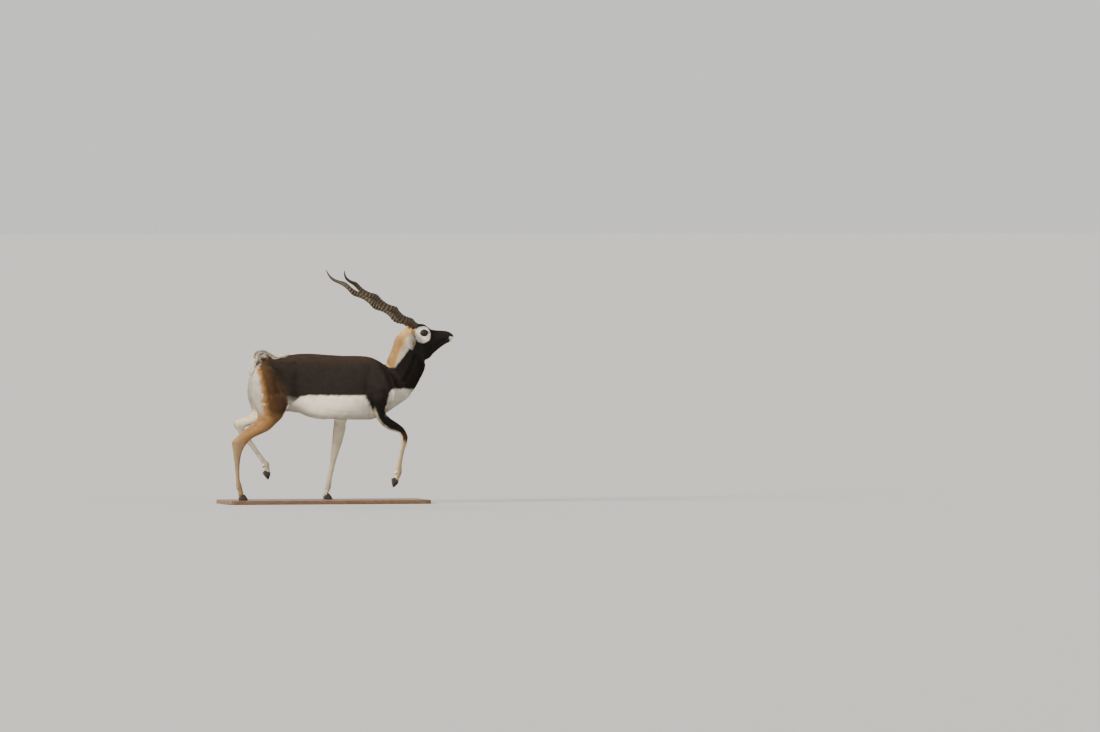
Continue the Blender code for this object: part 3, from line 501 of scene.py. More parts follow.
def refine(mesh, wanted):
    """Halves the edges whose both ends are wanted."""
    net = Net(mesh)
    keep = wanted(net.at)
    shape = bmesh.new()
    shape.from_mesh(mesh)
    shape.verts.ensure_lookup_table()
    edges = [e for e in shape.edges if keep[e.verts[0].index] and keep[e.verts[1].index]]
    bmesh.ops.subdivide_edges(shape, edges=edges, cuts=1, use_grid_fill=True)
    shape.to_mesh(mesh)
    shape.free()


def far_from(at, point):
    return np.linalg.norm(at - np.array(point, float), axis=1)


def eye_places(at, side):
    """How far each point lies from an eye's middle, and where it lies against the lids' opening: 1 is its edge."""
    away = at - np.array(mirrored(EYE_AT, side), float)
    t = radians(LID_TILT)
    x, z = away[:, 0] * cos(t) + away[:, 2] * sin(t), -away[:, 0] * sin(t) + away[:, 2] * cos(t)
    # The opening narrows to a corner in front and, less, behind.
    height = LID_OPENING[1] * np.clip(1 - 0.32 * np.abs(x / LID_OPENING[0]) ** 3, 0.4, 1)
    return away, np.linalg.norm(away, axis=1), np.hypot(x / LID_OPENING[0], z / height)


def mouth_away(at):
    """How far each point lies from the mouth's line in side view, and the share of the line's length there."""
    away, _, share = along_line(at * (1, 0, 1), MOUTH_LINE)
    return away, share


# Muscles, bones and folds under the skin in side view: side (0 is both), half width, height and places.
RELIEF = (
    (-1, 10, 2.5, ((205, 730), (245, 620))), (-1, 22, -3.5, ((168, 700), (142, 640), (140, 590))),
    (-1, 18, -4.0, ((262, 690), (292, 630), (288, 580))), (-1, 34, 4.0, ((188, 605), (200, 625))),
    (-1, 10, -2.5, ((172, 556), (232, 572))), (-1, 20, 3.5, ((262, 592), (264, 600))),
    (1, 10, 2.5, ((192, 735), (216, 640))), (1, 22, -3.5, ((146, 700), (88, 640), (60, 590))),
    (1, 34, 4.0, ((130, 610), (145, 630))), (1, 15, -4.0, ((250, 690), (262, 620), (240, 575))),
    (0, 26, -5.5, ((-212, 700), (-232, 655))), (0, 22, 3.0, ((-262, 742), (-268, 736))),
    (0, 24, -2.2, ((-234, 640), (-228, 590))), (0, 22, 2.5, ((-280, 640), (-274, 575), (-280, 545))),
    (0, 12, -3.0, ((-330, 722), (-352, 640), (-342, 560))), (0, 10, -3.5, ((-418, 690), (-430, 600), (-418, 520))),
    (0, 15, 3.0, ((-450, 692), (-448, 686))), (-1, 18, 3.0, ((-296, 498), (-302, 490))),
    (0, 9, -3.5, ((420, 785), (388, 705), (352, 632))), (0, 11, 2.5, ((402, 790), (364, 705), (328, 635))),
    (0, 9, -3.0, ((424, 842), (452, 795), (462, 765))), (0, 24, 2.5, ((455, 812), (456, 816))),
    (0, 8, -2.5, ((498, 842), (492, 800))), (0, 7, -1.6, ((592, 869), (540, 868))),
    (0, 6, 1.6, ((562, 846), (512, 851))), (0, 6, 2.5, ((438, 901), (462, 908), (484, 899))),
    (0, 8, -3.0, ((419, 888), (420, 884))), (-1, 6, -3.5, ((-428, 425), (-474, 388), (-514, 352))),
    (1, 6, -3.5, ((-430, 452), (-480, 428))), (-1, 3.5, -1.6, ((-561, 240), (-562, 120))),
)
RIB_PLACES = range(-160, 110, 27)
RIBS = tuple((0, 7.5, 1.0, ((x, 712), (x - 16, 650), (x - 20, 580))) for x in RIB_PLACES)


def relieve(net):
    """Raises and sinks the skin along the lines of the relief, on the sides that it faces."""
    normals = unit(net.softened(net.normals(), 6))
    sideways = np.clip(np.abs(normals[:, 1]) * 1.7, 0, 1)
    flat = net.at * (1, 0, 1)
    for side, width, height, places in (*RELIEF, *RIBS):
        away, _, _ = along_line(flat, [(x, 0, z) for x, z in places])
        here = np.exp(-((away / width) ** 2)) * sideways * ease(4, 14, np.abs(net.at[:, 1]))
        if side:
            here = here * (net.at[:, 1] * side > 0)
        net.at += normals * (height * here)[:, None]


def carve_face(net):
    """Presses the eyes' openings, nostrils, glands and mouth into the face and raises the lids and lips."""
    normals = net.softened(net.normals(), 4)
    normals /= np.linalg.norm(normals, axis=1)[:, None].clip(1e-9)
    for side in (1, -1):
        away, radius, place = eye_places(net.at, side)
        outer = away[:, 1] * side > 0
        lid = EYE_RADIUS + LID_THICKNESS * (0.55 + 0.45 * ease(2.3, 1.15, place))
        lid = np.where(place < 1, EYE_RADIUS - 3.5, lid)
        share = ease(2.3, 1.5, place) * outer * (radius < 46)
        wanted = radius * (1 - share) + lid * share
        net.at += away / radius.clip(1e-6)[:, None] * (wanted - radius)[:, None]
        # The crease over the upper lid and the fold under the lower one.
        crease = np.exp(-((place - 1.95) / 0.22) ** 2) * outer * (radius < 46)
        net.at -= normals * (1.5 * crease)[:, None]
        for centre, size, turn, depth in ((NOSTRIL_AT, (9.5, 7, 4.6), 40, 7.0), (GLAND_AT, (13, 10, 3.0), -35, 3.0)):
            d = net.at - np.array(mirrored(centre, side), float)
            t = radians(turn)
            u, v = d[:, 0] * cos(t) + d[:, 2] * sin(t), -d[:, 0] * sin(t) + d[:, 2] * cos(t)
            v = v - 0.035 * u * u
            hole = ease(1.35, 0.55, np.sqrt((u / size[0]) ** 2 + (d[:, 1] / size[1]) ** 2 * 0.4 + (v / size[2]) ** 2))
            rim = np.exp(-((np.sqrt((u / size[0]) ** 2 + (v / size[2]) ** 2) - 1.7) / 0.4) ** 2) * (np.abs(d[:, 1]) < 14)
            net.at -= normals * (depth * hole - 0.8 * rim * (np.linalg.norm(d, axis=1) < 26))[:, None]
    away, share = mouth_away(net.at)
    groove = ease(3.0, 0.5, away) * (1 - ease(0.88, 1.0, share))
    lips = np.exp(-((away - 5.5) / 3.0) ** 2) * (1 - ease(0.7, 1.0, share))
    net.at += normals * (0.8 * lips - 2.8 * groove)[:, None]


# What each point of the skin is, worked out once for its shape, hair and markings.
class Kinds:
    def __init__(self, net, tree, owner, names):
        found = [tree.find_nearest(Vector(p))[2] for p in net.at]
        self.label = np.array([owner[k] for k in found])
        self.names = names
        self.net = net

    def of(self, *wanted):
        return np.isin(self.label, [self.names.index(w) for w in wanted])

    def share(self, rounds, *wanted):
        return self.net.softened(self.of(*wanted).astype(float), rounds)


def region_shares(kinds, rounds):
    """How much each point belongs to each region of the coat; the shares add up to 1."""
    whole = {
        "trunk": ("torso",), "neck": ("neck",), "head": ("head", "eyes"), "tail": ("tail", "bend"), "ear": ("ears",),
        "upper_leg": [leg for leg in LEGS if "upper" in leg], "lower_leg": [leg for leg in LEGS if "lower" in leg],
    }
    return {name: kinds.share(rounds, *parts) for name, parts in whole.items()}


def lie_of_coat(at, normals, shares, kinds):
    """Which way the hair points at each place, along the skin."""
    count = len(at)
    flow = np.zeros((count, 3))
    lower = ease(640, 480, at[:, 2])
    trunk = np.stack([np.full(count, -1.0), np.zeros(count), -0.22 - 0.35 * lower * ease(0, 200, at[:, 0])], axis=1)
    haunch = ease(-250, -400, at[:, 0])
    trunk[:, 0] += 0.55 * haunch
    trunk[:, 2] -= 0.9 * haunch * ease(770, 700, at[:, 2])
    flow += trunk * shares["trunk"][:, None]
    neck = np.stack([-0.45 - 0.25 * ease(360, 300, at[:, 0]), 0.12 * np.sign(at[:, 1]), np.full(count, -0.9)], axis=1)
    flow += neck * shares["neck"][:, None]
    nose = np.array((646, 0, 866.0))
    head = at - nose
    head /= np.linalg.norm(head, axis=1)[:, None].clip(1e-6)
    head[:, 2] -= 0.35 * ease(450, 400, at[:, 0]) + 0.3 * ease(850, 810, at[:, 2])
    flow += head * shares["head"][:, None]
    for name in ("fore_right", "fore_left", "hind_right", "hind_left"):
        end, side = name.split("_")
        member = kinds.share(10, f"{end}_leg_upper_{side}", f"{end}_leg_lower_{side}")
        _, way, _ = along_line(at, LINES[name])
        back = np.stack([np.full(count, -0.25), np.zeros(count), np.zeros(count)], axis=1)
        flow += (way + back * (at[:, 2] > 330)[:, None]) * member[:, None]
    _, way, _ = along_line(at, LINES["tail"])
    outwards = np.stack([np.zeros(count), np.sign(at[:, 1]) * ease(2, 14, np.abs(at[:, 1])), np.zeros(count)], axis=1)
    flow += (way + 0.75 * outwards) * shares["tail"][:, None]
    for side in (1, -1):
        along = np.array(mirrored(Vector(EAR_ALONG).normalized(), side))
        flow += along * (shares["ear"] * (at[:, 1] * side > 0))[:, None]
    flow -= normals * np.sum(flow * normals, axis=1)[:, None]
    return flow / np.linalg.norm(flow, axis=1)[:, None].clip(1e-6)


# Markings, in linear colour.
BLACK = (0.018, 0.0135, 0.0105)
# Brown of the painted highlight along the top of the back.
BACK_HIGHLIGHT_BROWN = (0.038, 0.023, 0.0145)
DARK_BROWN = (0.085, 0.045, 0.022)
BROWN = (0.14, 0.071, 0.031)
TAN = (0.52, 0.29, 0.11)
NAPE_TAN = (0.60, 0.35, 0.118)
CREAM = (0.78, 0.63, 0.40)
# A shaded copy of the white, used where shade is painted on white hair.
SHADED_WHITE = (0.66, 0.63, 0.54)
WHITE = (0.86, 0.80, 0.69)
LEG_WHITE = (0.78, 0.69, 0.53)
LEG_CREAM = (0.62, 0.485, 0.295)
LEG_TAN = (0.39, 0.22, 0.088)
PAD_BLACK = (0.012, 0.011, 0.011)
BEND_BROWN = (0.24, 0.165, 0.095)
EAR_GREY = (0.36, 0.335, 0.28)
EAR_BROWN = (0.20, 0.13, 0.075)
EAR_INNER = (0.46, 0.40, 0.33)
LID_DARK = (0.016, 0.012, 0.011)

BELLY_OUTLINE = [
    (-300, 470), (-281, 484), (-249, 517), (-227, 535), (-200, 552), (-150, 556), (0, 554), (125, 556), (131, 556),
    (153, 514), (174, 474), (197, 435), (214, 412), (216, 380), (-300, 380),
]
CHEST_OUTLINE = [(274, 586), (404, 592), (460, 586), (460, 380), (226, 380), (232, 440), (242, 464), (247, 501)]
# The left fore leg stands further back, and with it the dark of its shoulder.
LEFT_BELLY_OUTLINE = [
    (-300, 470), (-281, 484), (-249, 517), (-227, 535), (-200, 552), (-150, 556), (0, 556), (20, 552), (24, 520),
    (10, 480), (6, 440), (4, 380), (-300, 380),
]
LEFT_CHEST_OUTLINE = [(250, 586), (404, 592), (460, 586), (460, 380), (56, 380), (60, 425), (98, 475), (162, 532)]


def blend(colours, share, other):
    """Lays a colour, or colours, over others by shares."""
    return colours + (np.array(other) - colours) * np.clip(share, 0, 1)[:, None]


def wobble(at, size):
    x, y, z = at.T
    return size * (np.sin(x / 9.1 + y / 13.7 + 1.3) * np.cos(z / 7.9 - y / 17.3) + 0.6 * np.sin(x / 4.3 - z / 5.1 + y / 6.7))


def markings(at, normals, kinds, shares):
    """The coat's colour at each place."""
    x, y, z = at.T
    edge = wobble(at, 2.5)
    side = np.sign(y)
    outer = normals[:, 1] * side
    colours = np.tile(np.array(BLACK), (len(at), 1))
    # Painted highlight: the top of the back is painted browner, as if lit along the back line.
    colours = blend(colours, ease(690, 765, z) * shares["trunk"], BACK_HIGHLIGHT_BROWN)

    # Nape: tan behind, a cream stripe, then the dark neck. The stripe's pale hair is painted lit cream at its rear edge
    # and painted shaded grey-white at its front.
    tan_line = np.interp(z, (713, 750, 782, 819, 845, 862, 876, 890, 930), (304, 314, 326, 340, 349, 368, 395, 413, 417))
    cream_line = np.interp(z, (713, 739, 771, 803, 840, 862, 878, 892, 930), (310, 330, 352, 374, 388, 393, 402, 415, 417))
    on_nape = shares["neck"] + shares["trunk"] + shares["head"]
    reach = ease(704, 717, z + edge) * on_nape * ease(255, 268, x + edge)
    # Painted shade: the front of the pale stripe takes the shaded copy of the white.
    colours = blend(colours, reach * ease(5, -5, x - cream_line + edge), SHADED_WHITE)
    # Painted light: the stripe's rear edge is painted as lit cream.
    colours = blend(colours, reach * ease(5, -5, x - 0.6 * tan_line - 0.4 * cream_line + edge), CREAM)
    colours = blend(colours, reach * ease(5, -5, x - tan_line + edge), NAPE_TAN)
    colours = blend(colours, 0.3 * reach * ease(-14, -34, x - tan_line + edge), CREAM)

    # Rump: black through brown and tan to white round the tail and down the buttocks.
    white_line = np.interp(z, (464, 580, 686, 760), (-429, -436, -446, -440))
    black_line = np.interp(z, (464, 527, 600, 686, 713), (-262, -288, -310, -360, -385))
    across = (x - white_line + edge) / (black_line - white_line)
    # Over the croup the dark saddle runs back to the tail's root.
    behind = shares["trunk"] + kinds.share(8, "hind_leg_upper_right", "hind_leg_upper_left")
    rump = behind * (x < -200)
    colours = blend(colours, rump * ease(1.35, 0.75, across), DARK_BROWN)
    colours = blend(colours, rump * ease(0.80, 0.36, across), BROWN)
    colours = blend(colours, rump * ease(0.34, 0.12, across), TAN)
    colours = blend(colours, rump * ease(0.15, -0.05, across), WHITE)
    colours = blend(colours, rump * ease(36, 22, np.abs(y) + edge) * ease(-408, -422, x), WHITE)

    # Underside: belly, chest and the inner sides of the legs.
    belly, chest = np.zeros((2, len(at)))
    for own_side, rear, front in ((-1, BELLY_OUTLINE, CHEST_OUTLINE), (1, LEFT_BELLY_OUTLINE, LEFT_CHEST_OUTLINE)):
        own = ease(-6, 6, y * own_side)
        belly = np.maximum(belly, own * ease(-5, 5, distance_to_outline(x, z, rear) + edge))
        chest = np.maximum(chest, own * ease(-5, 5, distance_to_outline(x, z, front) + edge))
    between = ease(-265, -280, x) * ease(535, 515, z) * ease(62, 48, np.abs(y))
    white = np.max([belly, chest, between, ease(0.25, 0.65, -normals[:, 2]) * (z < 560)], axis=0)
    body = kinds.share(3, "torso") + kinds.share(3, "neck")
    forearms = kinds.share(3, "fore_leg_upper_right", "fore_leg_upper_left")
    colours = blend(colours, np.maximum(body, forearms) * white, WHITE)

    # Legs, each outside, inside and front.
    for name, dark_to in (("fore_right", 0.60), ("fore_left", 0.60), ("hind_right", 0), ("hind_left", 0)):
        end, which = name.split("_")
        own_side = 1 if which == "left" else -1
        member = kinds.share(3, f"{end}_leg_upper_{which}", f"{end}_leg_lower_{which}")
        _, way, share = along_line(at, LINES[name])
        share = share + 0.0012 * edge
        facing = normals[:, 1] * own_side
        to_rear = normals[:, 0] * way[:, 2] - normals[:, 2] * way[:, 0]
        if end == "fore":
            knee = 0.585 if which == "right" else 0.56
            leg = blend(np.tile(np.array(BLACK), (len(at), 1)), ease(440, 470, z) * chest, WHITE)
            leg = blend(leg, ease(384, 400, z) * belly, WHITE)
            leg = blend(leg, ease(knee - 0.06, knee, share), DARK_BROWN)
            leg = blend(leg, ease(knee, knee + 0.035, share), BROWN)
            leg = blend(leg, ease(knee + 0.02, knee + 0.06, share), LEG_CREAM)
            leg = blend(leg, ease(0.94, 0.985, share), LEG_TAN)
            inner = np.maximum(ease(0.05, -0.3, facing), ease(0.2, 0.6, to_rear) * ease(0.9, 0.6, facing))
            leg = blend(leg, inner * ease(600, 560, z), LEG_WHITE)
        else:
            thigh = colours
            leg = blend(thigh, ease(0.22, 0.34, share) * ease(500, 440, z), LEG_TAN)
            leg = blend(leg, ease(0.5, 0.66, share), 0.5 * (np.array(LEG_TAN) + LEG_CREAM))
            front = ease(0.35, 0.8, normals[:, 0]) * ease(0.2, 0.3, share) * (1 - ease(0.9, 0.95, share))
            leg = blend(leg, 0.55 * front, BROWN)
            leg = blend(leg, ease(0.94, 0.985, share), LEG_TAN)
            groin = ease(0.3, 0.7, -normals[:, 2]) * ease(0.24, 0.16, share)
            inner = np.maximum(ease(0.05, -0.35, facing), groin) * ease(590, 540, z)
            leg = blend(leg, inner, LEG_WHITE)
            # The fold between the belly and the thigh is white too, also over the thigh's front edge.
            fold = ease(-325, -312, x) * ease(480, 468, z) * ease(0.75, 0.45, facing)
            leg = blend(leg, np.maximum(belly, fold), WHITE)
        colours = blend(colours, member, leg)

    # Head: a white ring round the eye, white lips and chin, a bare black nose.
    head = shares["head"]
    ring = np.hypot((x - 452) / 43, (z - 872) / 44)
    colours = blend(colours, head * ease(1.06, 0.92, ring + edge * 0.012) * (np.abs(y) > 14), WHITE)
    for eye_side in (1, -1):
        _, radius, place = eye_places(at, eye_side)
        t = radians(LID_TILT)
        u, v = (x - EYE_AT[0]) * cos(t) + (z - EYE_AT[2]) * sin(t), -(x - EYE_AT[0]) * sin(t) + (z - EYE_AT[2]) * cos(t)
        narrow = 1 - 0.3 * np.clip((u - 8) / 16, 0, 1)
        rim = np.hypot((u - 1.0) / 23.5, (v + 0.05 * np.clip(u, 0, None)) / (18.5 * narrow))
        colours = blend(colours, ease(1.06, 0.94, rim) * (radius < 40) * (y * eye_side > 0), LID_DARK)
        gland = far_from(at, mirrored(GLAND_AT, eye_side))
        colours = blend(colours, ease(12, 5, gland), PAD_BLACK)
    lips = ease(598, 605, x + edge) * ease(865, 859, z + 0.4 * edge + 0.15 * (x - 610))
    colours = blend(colours, head * lips, WHITE)
    colours = blend(colours, head * ease(2.3, 1.1, mouth_away(at)[0]), PAD_BLACK)
    colours = blend(colours, head * bare_nose(at), PAD_BLACK)

    # Ears: greyish behind with a browner tip and rim, pale inside.
    ear = kinds.of("ears").astype(float)
    colours = blend(colours, ear, EAR_GREY)
    for ear_side in (1, -1):
        away = at - np.array(mirrored(EAR_BASE, ear_side), float)
        along = np.array(mirrored(Vector(EAR_ALONG).normalized(), ear_side))
        back = np.array(mirrored(EAR_BACK, ear_side))
        run, forward = away @ along / EAR_LENGTH, away @ np.cross(along, back) * ear_side
        here = ear * (y * ear_side > 0)
        colours = blend(colours, here * 0.5 * ease(0, -16, forward), WHITE)
        colours = blend(colours, here * 0.9 * ease(0, 14, forward) * ease(0.3, 0.75, run), EAR_BROWN)
        inside = here * ease(0.15, -0.25, normals @ back)
        colours = blend(colours, inside, EAR_INNER)
        colours = blend(colours, here * 0.6 * ease(0.85, 1.0, run), EAR_BROWN)
        colours = blend(colours, here * 0.7 * ease(0.2, 0.0, run), NAPE_TAN)

    # Tail: white below, which the curl turns outermost, and dark above.
    tail = kinds.share(1, "tail")
    line = np.array(LINES["tail"])
    _, way, share = along_line(at, line)
    below = np.stack([-way[:, 2], np.zeros(len(at)), way[:, 0]], axis=1)
    facing = np.sum(normals * below, axis=1)
    colours = blend(colours, tail, WHITE)
    colours = blend(colours, tail * ease(-0.1, -0.6, facing), BEND_BROWN)
    streak = ease(15, 9, np.abs(y)) * ease(0.08, 0.14, share) * ease(0.46, 0.36, share) * ease(0.3, 0.7, facing)
    colours = blend(colours, tail * 0.9 * streak, BROWN)
    # The bend's filling: painted shaded white at its rear, olive-brown hair further forward, and a dark brown painted
    # shadow along its lower edge over the croup.
    filling = blend(np.tile(np.array(SHADED_WHITE), (len(at), 1)), ease(-408, -396, x), BEND_BROWN)
    filling = blend(filling, ease(754, 745, z) * ease(-406, -398, x), DARK_BROWN)
    return blend(colours, kinds.share(2, "bend"), filling)


def bare_nose(at):
    """The pad between and over the nostrils."""
    x, y, z = at.T
    return ease(-3, 3, x - 612 - 0.35 * np.abs(y)) * ease(-2, 3, z - 857 + 0.12 * (x - 612)) * ease(16, 12, np.abs(y))


# Coat: closed, tapered tufts rooted all over the skin. Short hair is a tuft of a root of three points and a tip.
# Long hair has a middle of three points too, where it bends down.
SHORT_FACES = np.array(((0, 1, 3), (1, 2, 3), (2, 0, 3), (0, 2, 1)))
LONG_FACES = np.array((
    (0, 1, 4), (0, 4, 3), (1, 2, 5), (1, 5, 4), (2, 0, 3), (2, 3, 5), (3, 4, 6), (4, 5, 6), (5, 3, 6), (0, 2, 1)))
TRIANGLES_A_PIECE = 190_000


def tufts(root, normal, flow, length, width, lift, long):
    side = np.cross(normal, flow)
    length, width, lift = length[:, None], width[:, None], lift[:, None]
    first = flow * np.cos(lift) + normal * np.sin(lift)
    low = root - normal * 0.4
    if not long:
        start = [low - side * width * 0.5, low + side * width * 0.5, root + normal * width * 0.22 + flow * length * 0.12]
        return np.stack([*start, root + first * length], axis=1)
    second = flow * np.cos(lift * 0.25) + normal * np.sin(lift * 0.25)
    middle = root + first * length * 0.5
    tip = middle + second * length * 0.5
    return np.stack([
        low - side * width * 0.34, low + side * width * 0.34, root + normal * width * 0.16,
        middle - side * width * 0.5, middle + side * width * 0.5, middle + normal * width * 0.2, tip], axis=1)


def mesh_of(name, points, faces, smooth=True):
    """A mesh of triangles from arrays, points in millimetres above the board."""
    mesh = bpy.data.meshes.new(name)
    mesh.vertices.add(len(points))
    mesh.vertices.foreach_set("co", ((points + (0, 0, BOARD_TOP)) * MM).astype(np.float32).ravel())
    mesh.loops.add(faces.size)
    mesh.loops.foreach_set("vertex_index", faces.astype(np.int32).ravel())
    mesh.polygons.add(len(faces))
    mesh.polygons.foreach_set("loop_start", np.arange(0, faces.size, 3, dtype=np.int32))
    mesh.polygons.foreach_set("use_smooth", np.full(len(faces), smooth))
    mesh.update(calc_edges=True)
    return mesh


def plant(surface, values, wanted):
    """Places on a triangulated surface, spread evenly by a wanted number to the square millimetre.

    Returns each place's blend of the points' values and its place in the unwrap."""
    corners, uvs = surface
    at = values["at"][corners]
    area = 0.5 * np.linalg.norm(np.cross(at[:, 1] - at[:, 0], at[:, 2] - at[:, 0]), axis=1)
    run = np.cumsum(area * wanted[corners].mean(axis=1))
    count = int(run[-1])
    which = np.searchsorted(run, (np.arange(count) + chance.random(count)) * run[-1] / count).clip(0, len(run) - 1)
    a, b = chance.random((2, count))
    turned = a + b > 1
    a, b = np.where(turned, 1 - a, a), np.where(turned, 1 - b, b)
    weights = np.stack([1 - a - b, a, b], axis=1)
    out = {name: np.einsum("tk,tk...->t...", weights, value[corners[which]]) for name, value in values.items()}
    out["uv"] = np.einsum("tk,tkc->tc", weights, uvs[which])
    return out


def picked(roots, chosen):
    return {name: value[chosen] for name, value in roots.items()}


def coat_pieces(name, roots, material, long=False):
    """Objects of tufts, each below the limit of triangles."""
    shape = LONG_FACES if long else SHORT_FACES
    normal = unit(roots["normal"])
    flow = roots["flow"] + chance.normal(0, 0.10, (len(normal), 3))
    flow = unit(flow - normal * np.sum(flow * normal, axis=1)[:, None])
    count = len(normal)
    length = roots["length"] * chance.uniform(0.75, 1.2, count)
    width = roots["width"] * chance.uniform(0.75, 1.25, count)
    lift = np.radians(roots["lift"]) * chance.uniform(0.7, 1.25, count)
    points = tufts(roots["at"], normal, flow, length, width, lift, long)
    each = points.shape[1]
    colours = roots["colour"] * chance.normal(1, 0.09, (count, 1)).clip(0.7, 1.3)
    patch = np.array(((0, 0), (0.0015, 0), (0.0008, 0.0008), (0.0008, 0.003)))
    if long:
        patch = np.array(
            ((0, 0), (0.0015, 0), (0.0008, 0.0008), (0, 0.0015), (0.0015, 0.0015), (0.0008, 0.002), (0.0008, 0.003)))
    pieces = []
    order = np.argsort(roots["at"][:, 0], kind="stable")
    for number, chosen in enumerate(np.array_split(order, max(1, -(-count * len(shape) // TRIANGLES_A_PIECE)))):
        offsets = (np.arange(len(chosen)) * each)[:, None, None]
        faces = (shape[None] + offsets).reshape(-1, 3)
        mesh = mesh_of(f"{name}_{number + 1}", points[chosen].reshape(-1, 3), faces)
        paint_mesh(mesh, "markings", np.repeat(colours[chosen], each, axis=0).clip(0, 1))
        layer = mesh.uv_layers.new(name="OFBake")
        places = (roots["uv"][chosen][:, None] + patch[None]).reshape(-1, 2)
        layer.data.foreach_set("uv", places[faces.ravel()].astype(np.float32).ravel())
        mesh.materials.append(material)
        obj = linked(mesh.name, mesh)
        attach(obj, "root")
        pieces.append(obj)
    return pieces


def fringe(tree, uv_at, material):
    """The long strands of the tail's locks, fanned out round each lock's middle line."""
    points, faces, colours, uvs = [], [], [], []
    rings = 9
    for side in (1, -1):
        for number, places in enumerate(TAIL_LOCKS):
            path, facing = [Vector(mirrored(places[0], side))], Vector()
            hangs = number >= LOCKS_OVER_CROUP
            for place, lift in zip(places[1:], LOCK_LIFTS[1:]):
                place = Vector(mirrored(place, side))
                on_coat, normal, _, _ = tree.find_nearest(place)
                path.append(on_coat + normal * (max(lift, (place - on_coat).dot(normal)) if hangs else lift))
                facing += Vector((-0.85, 0.25 * side, 0.3)) if hangs else normal
            line = np.array(smooth_rows([(*p, w) for p, w in zip(path, LOCK_WIDTHS)], 2))
            ways = unit(np.gradient(line[:, :3], axis=0))
            across = unit(np.cross(ways, np.array(facing.normalized())))
            out = np.cross(across, ways)
            for _ in range(STRANDS_A_LOCK):
                spread, height, reach = chance.normal(0, 0.6), chance.uniform(-1.0, 0.7), chance.uniform(0.5, 1.15)
                begin, bow, turn = chance.uniform(-0.25, 0.35) * reach, chance.normal(0, 2.2), chance.uniform(0, tau)
                if hangs:
                    begin = chance.uniform(-0.04, 0.3)
                spots = np.interp(np.linspace(begin, reach, rings), np.linspace(0, 1, len(line)), np.arange(len(line)))
                wide = np.linspace(0, 1, rings)
                rows = [np.array([np.interp(s, np.arange(len(line)), table[:, k]) for k in range(3)])
                        for s in spots for table in (line, across, out)]
                # Beyond the lock's end a strand runs on straight.
                beyond = np.clip(np.linspace(begin, reach, rings) - 1, 0, None) * 90
                before = np.clip(-np.linspace(begin, reach, rings), 0, None) * -70
                lock_width = np.interp(spots, np.arange(len(line)), line[:, 3]) + 2.5
                start = len(points)
                for i in range(rings):
                    at, sideways, outwards = rows[3 * i : 3 * i + 3]
                    way = ways[min(len(ways) - 1, int(round(spots[i])))]
                    centre = at + way * (beyond[i] + before[i]) + sideways * spread * lock_width[i] * (0.5 + 0.7 * wide[i])
                    centre = centre + outwards * height * ((8.0 if hangs else 3.4) - (5.0 if hangs else 2.0) * wide[i])
                    centre = centre + (sideways * cos(turn) + outwards * sin(turn)) * bow * sin(pi * wide[i])
                    size = 0.85 * (1 - wide[i]) ** 0.6 + 0.05
                    for a in (0, tau / 3, 2 * tau / 3):
                        points.append(centre + sideways * size * 1.25 * cos(a) + outwards * size * 0.6 * sin(a))
                for i in range(rings - 1):
                    for k in range(3):
                        a, b = start + 3 * i + k, start + 3 * i + (k + 1) % 3
                        faces += [(a, b, b + 3), (a, b + 3, a + 3)]
                last = start + 3 * (rings - 1)
                faces += [(start, start + 2, start + 1), (last, last + 1, last + 2)]
                dark = chance.random() < (0.75, 0, 0, 0.25, 0.1)[number]
                root_colour, tip_colour = np.array(BROWN if dark else WHITE), np.array(WHITE)
                tone = chance.normal(1, 0.08)
                for i in range(rings):
                    share = float(ease(0.5, 0.85, wide[i]))
                    colours += [(root_colour + (tip_colour - root_colour) * share) * tone] * 3
                patch = np.array(uv_at(points[start]))
                uvs += [patch + (0.0015 * (k % 2), 0.003 * i / rings) for i in range(rings) for k in range(3)]
    points, faces = np.array(points), np.array(faces)
    middle = points[faces].mean(axis=1)
    mesh = mesh_of("tail_fringe", points, faces)
    paint_mesh(mesh, "markings", np.array(colours).clip(0, 1))
    layer = mesh.uv_layers.new(name="OFBake")
    layer.data.foreach_set("uv", np.array(uvs)[faces.ravel()].astype(np.float32).ravel())
    mesh.materials.append(material)
    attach(linked("tail_fringe", mesh), "root")


def hair_finish(name, fine, roughness=0.7):
    """Short hair: the markings under fine streaks of lighter and darker hairs."""
    f = Finish(name)
    colour = f.attribute("markings")[0]
    streak = f.noise(fine, 4, None, 0.6)
    patches = f.noise(28, 2)
    tone = f.span(streak, 0.3, 0.7, 0.84, 1.15) * f.span(patches, 0.3, 0.7, 0.92, 1.08)
    f.set(Base_Color=f.mix(1.0, colour, f.node("ShaderNodeCombineColor", None, {0: tone, 1: tone, 2: tone})[0], "MULTIPLY"))
    f.set(Roughness=roughness)
    f.shader.inputs["Specular IOR Level"].default_value = 0.18
    f.bump(streak, 0.0004, 0.6)
    return f.material


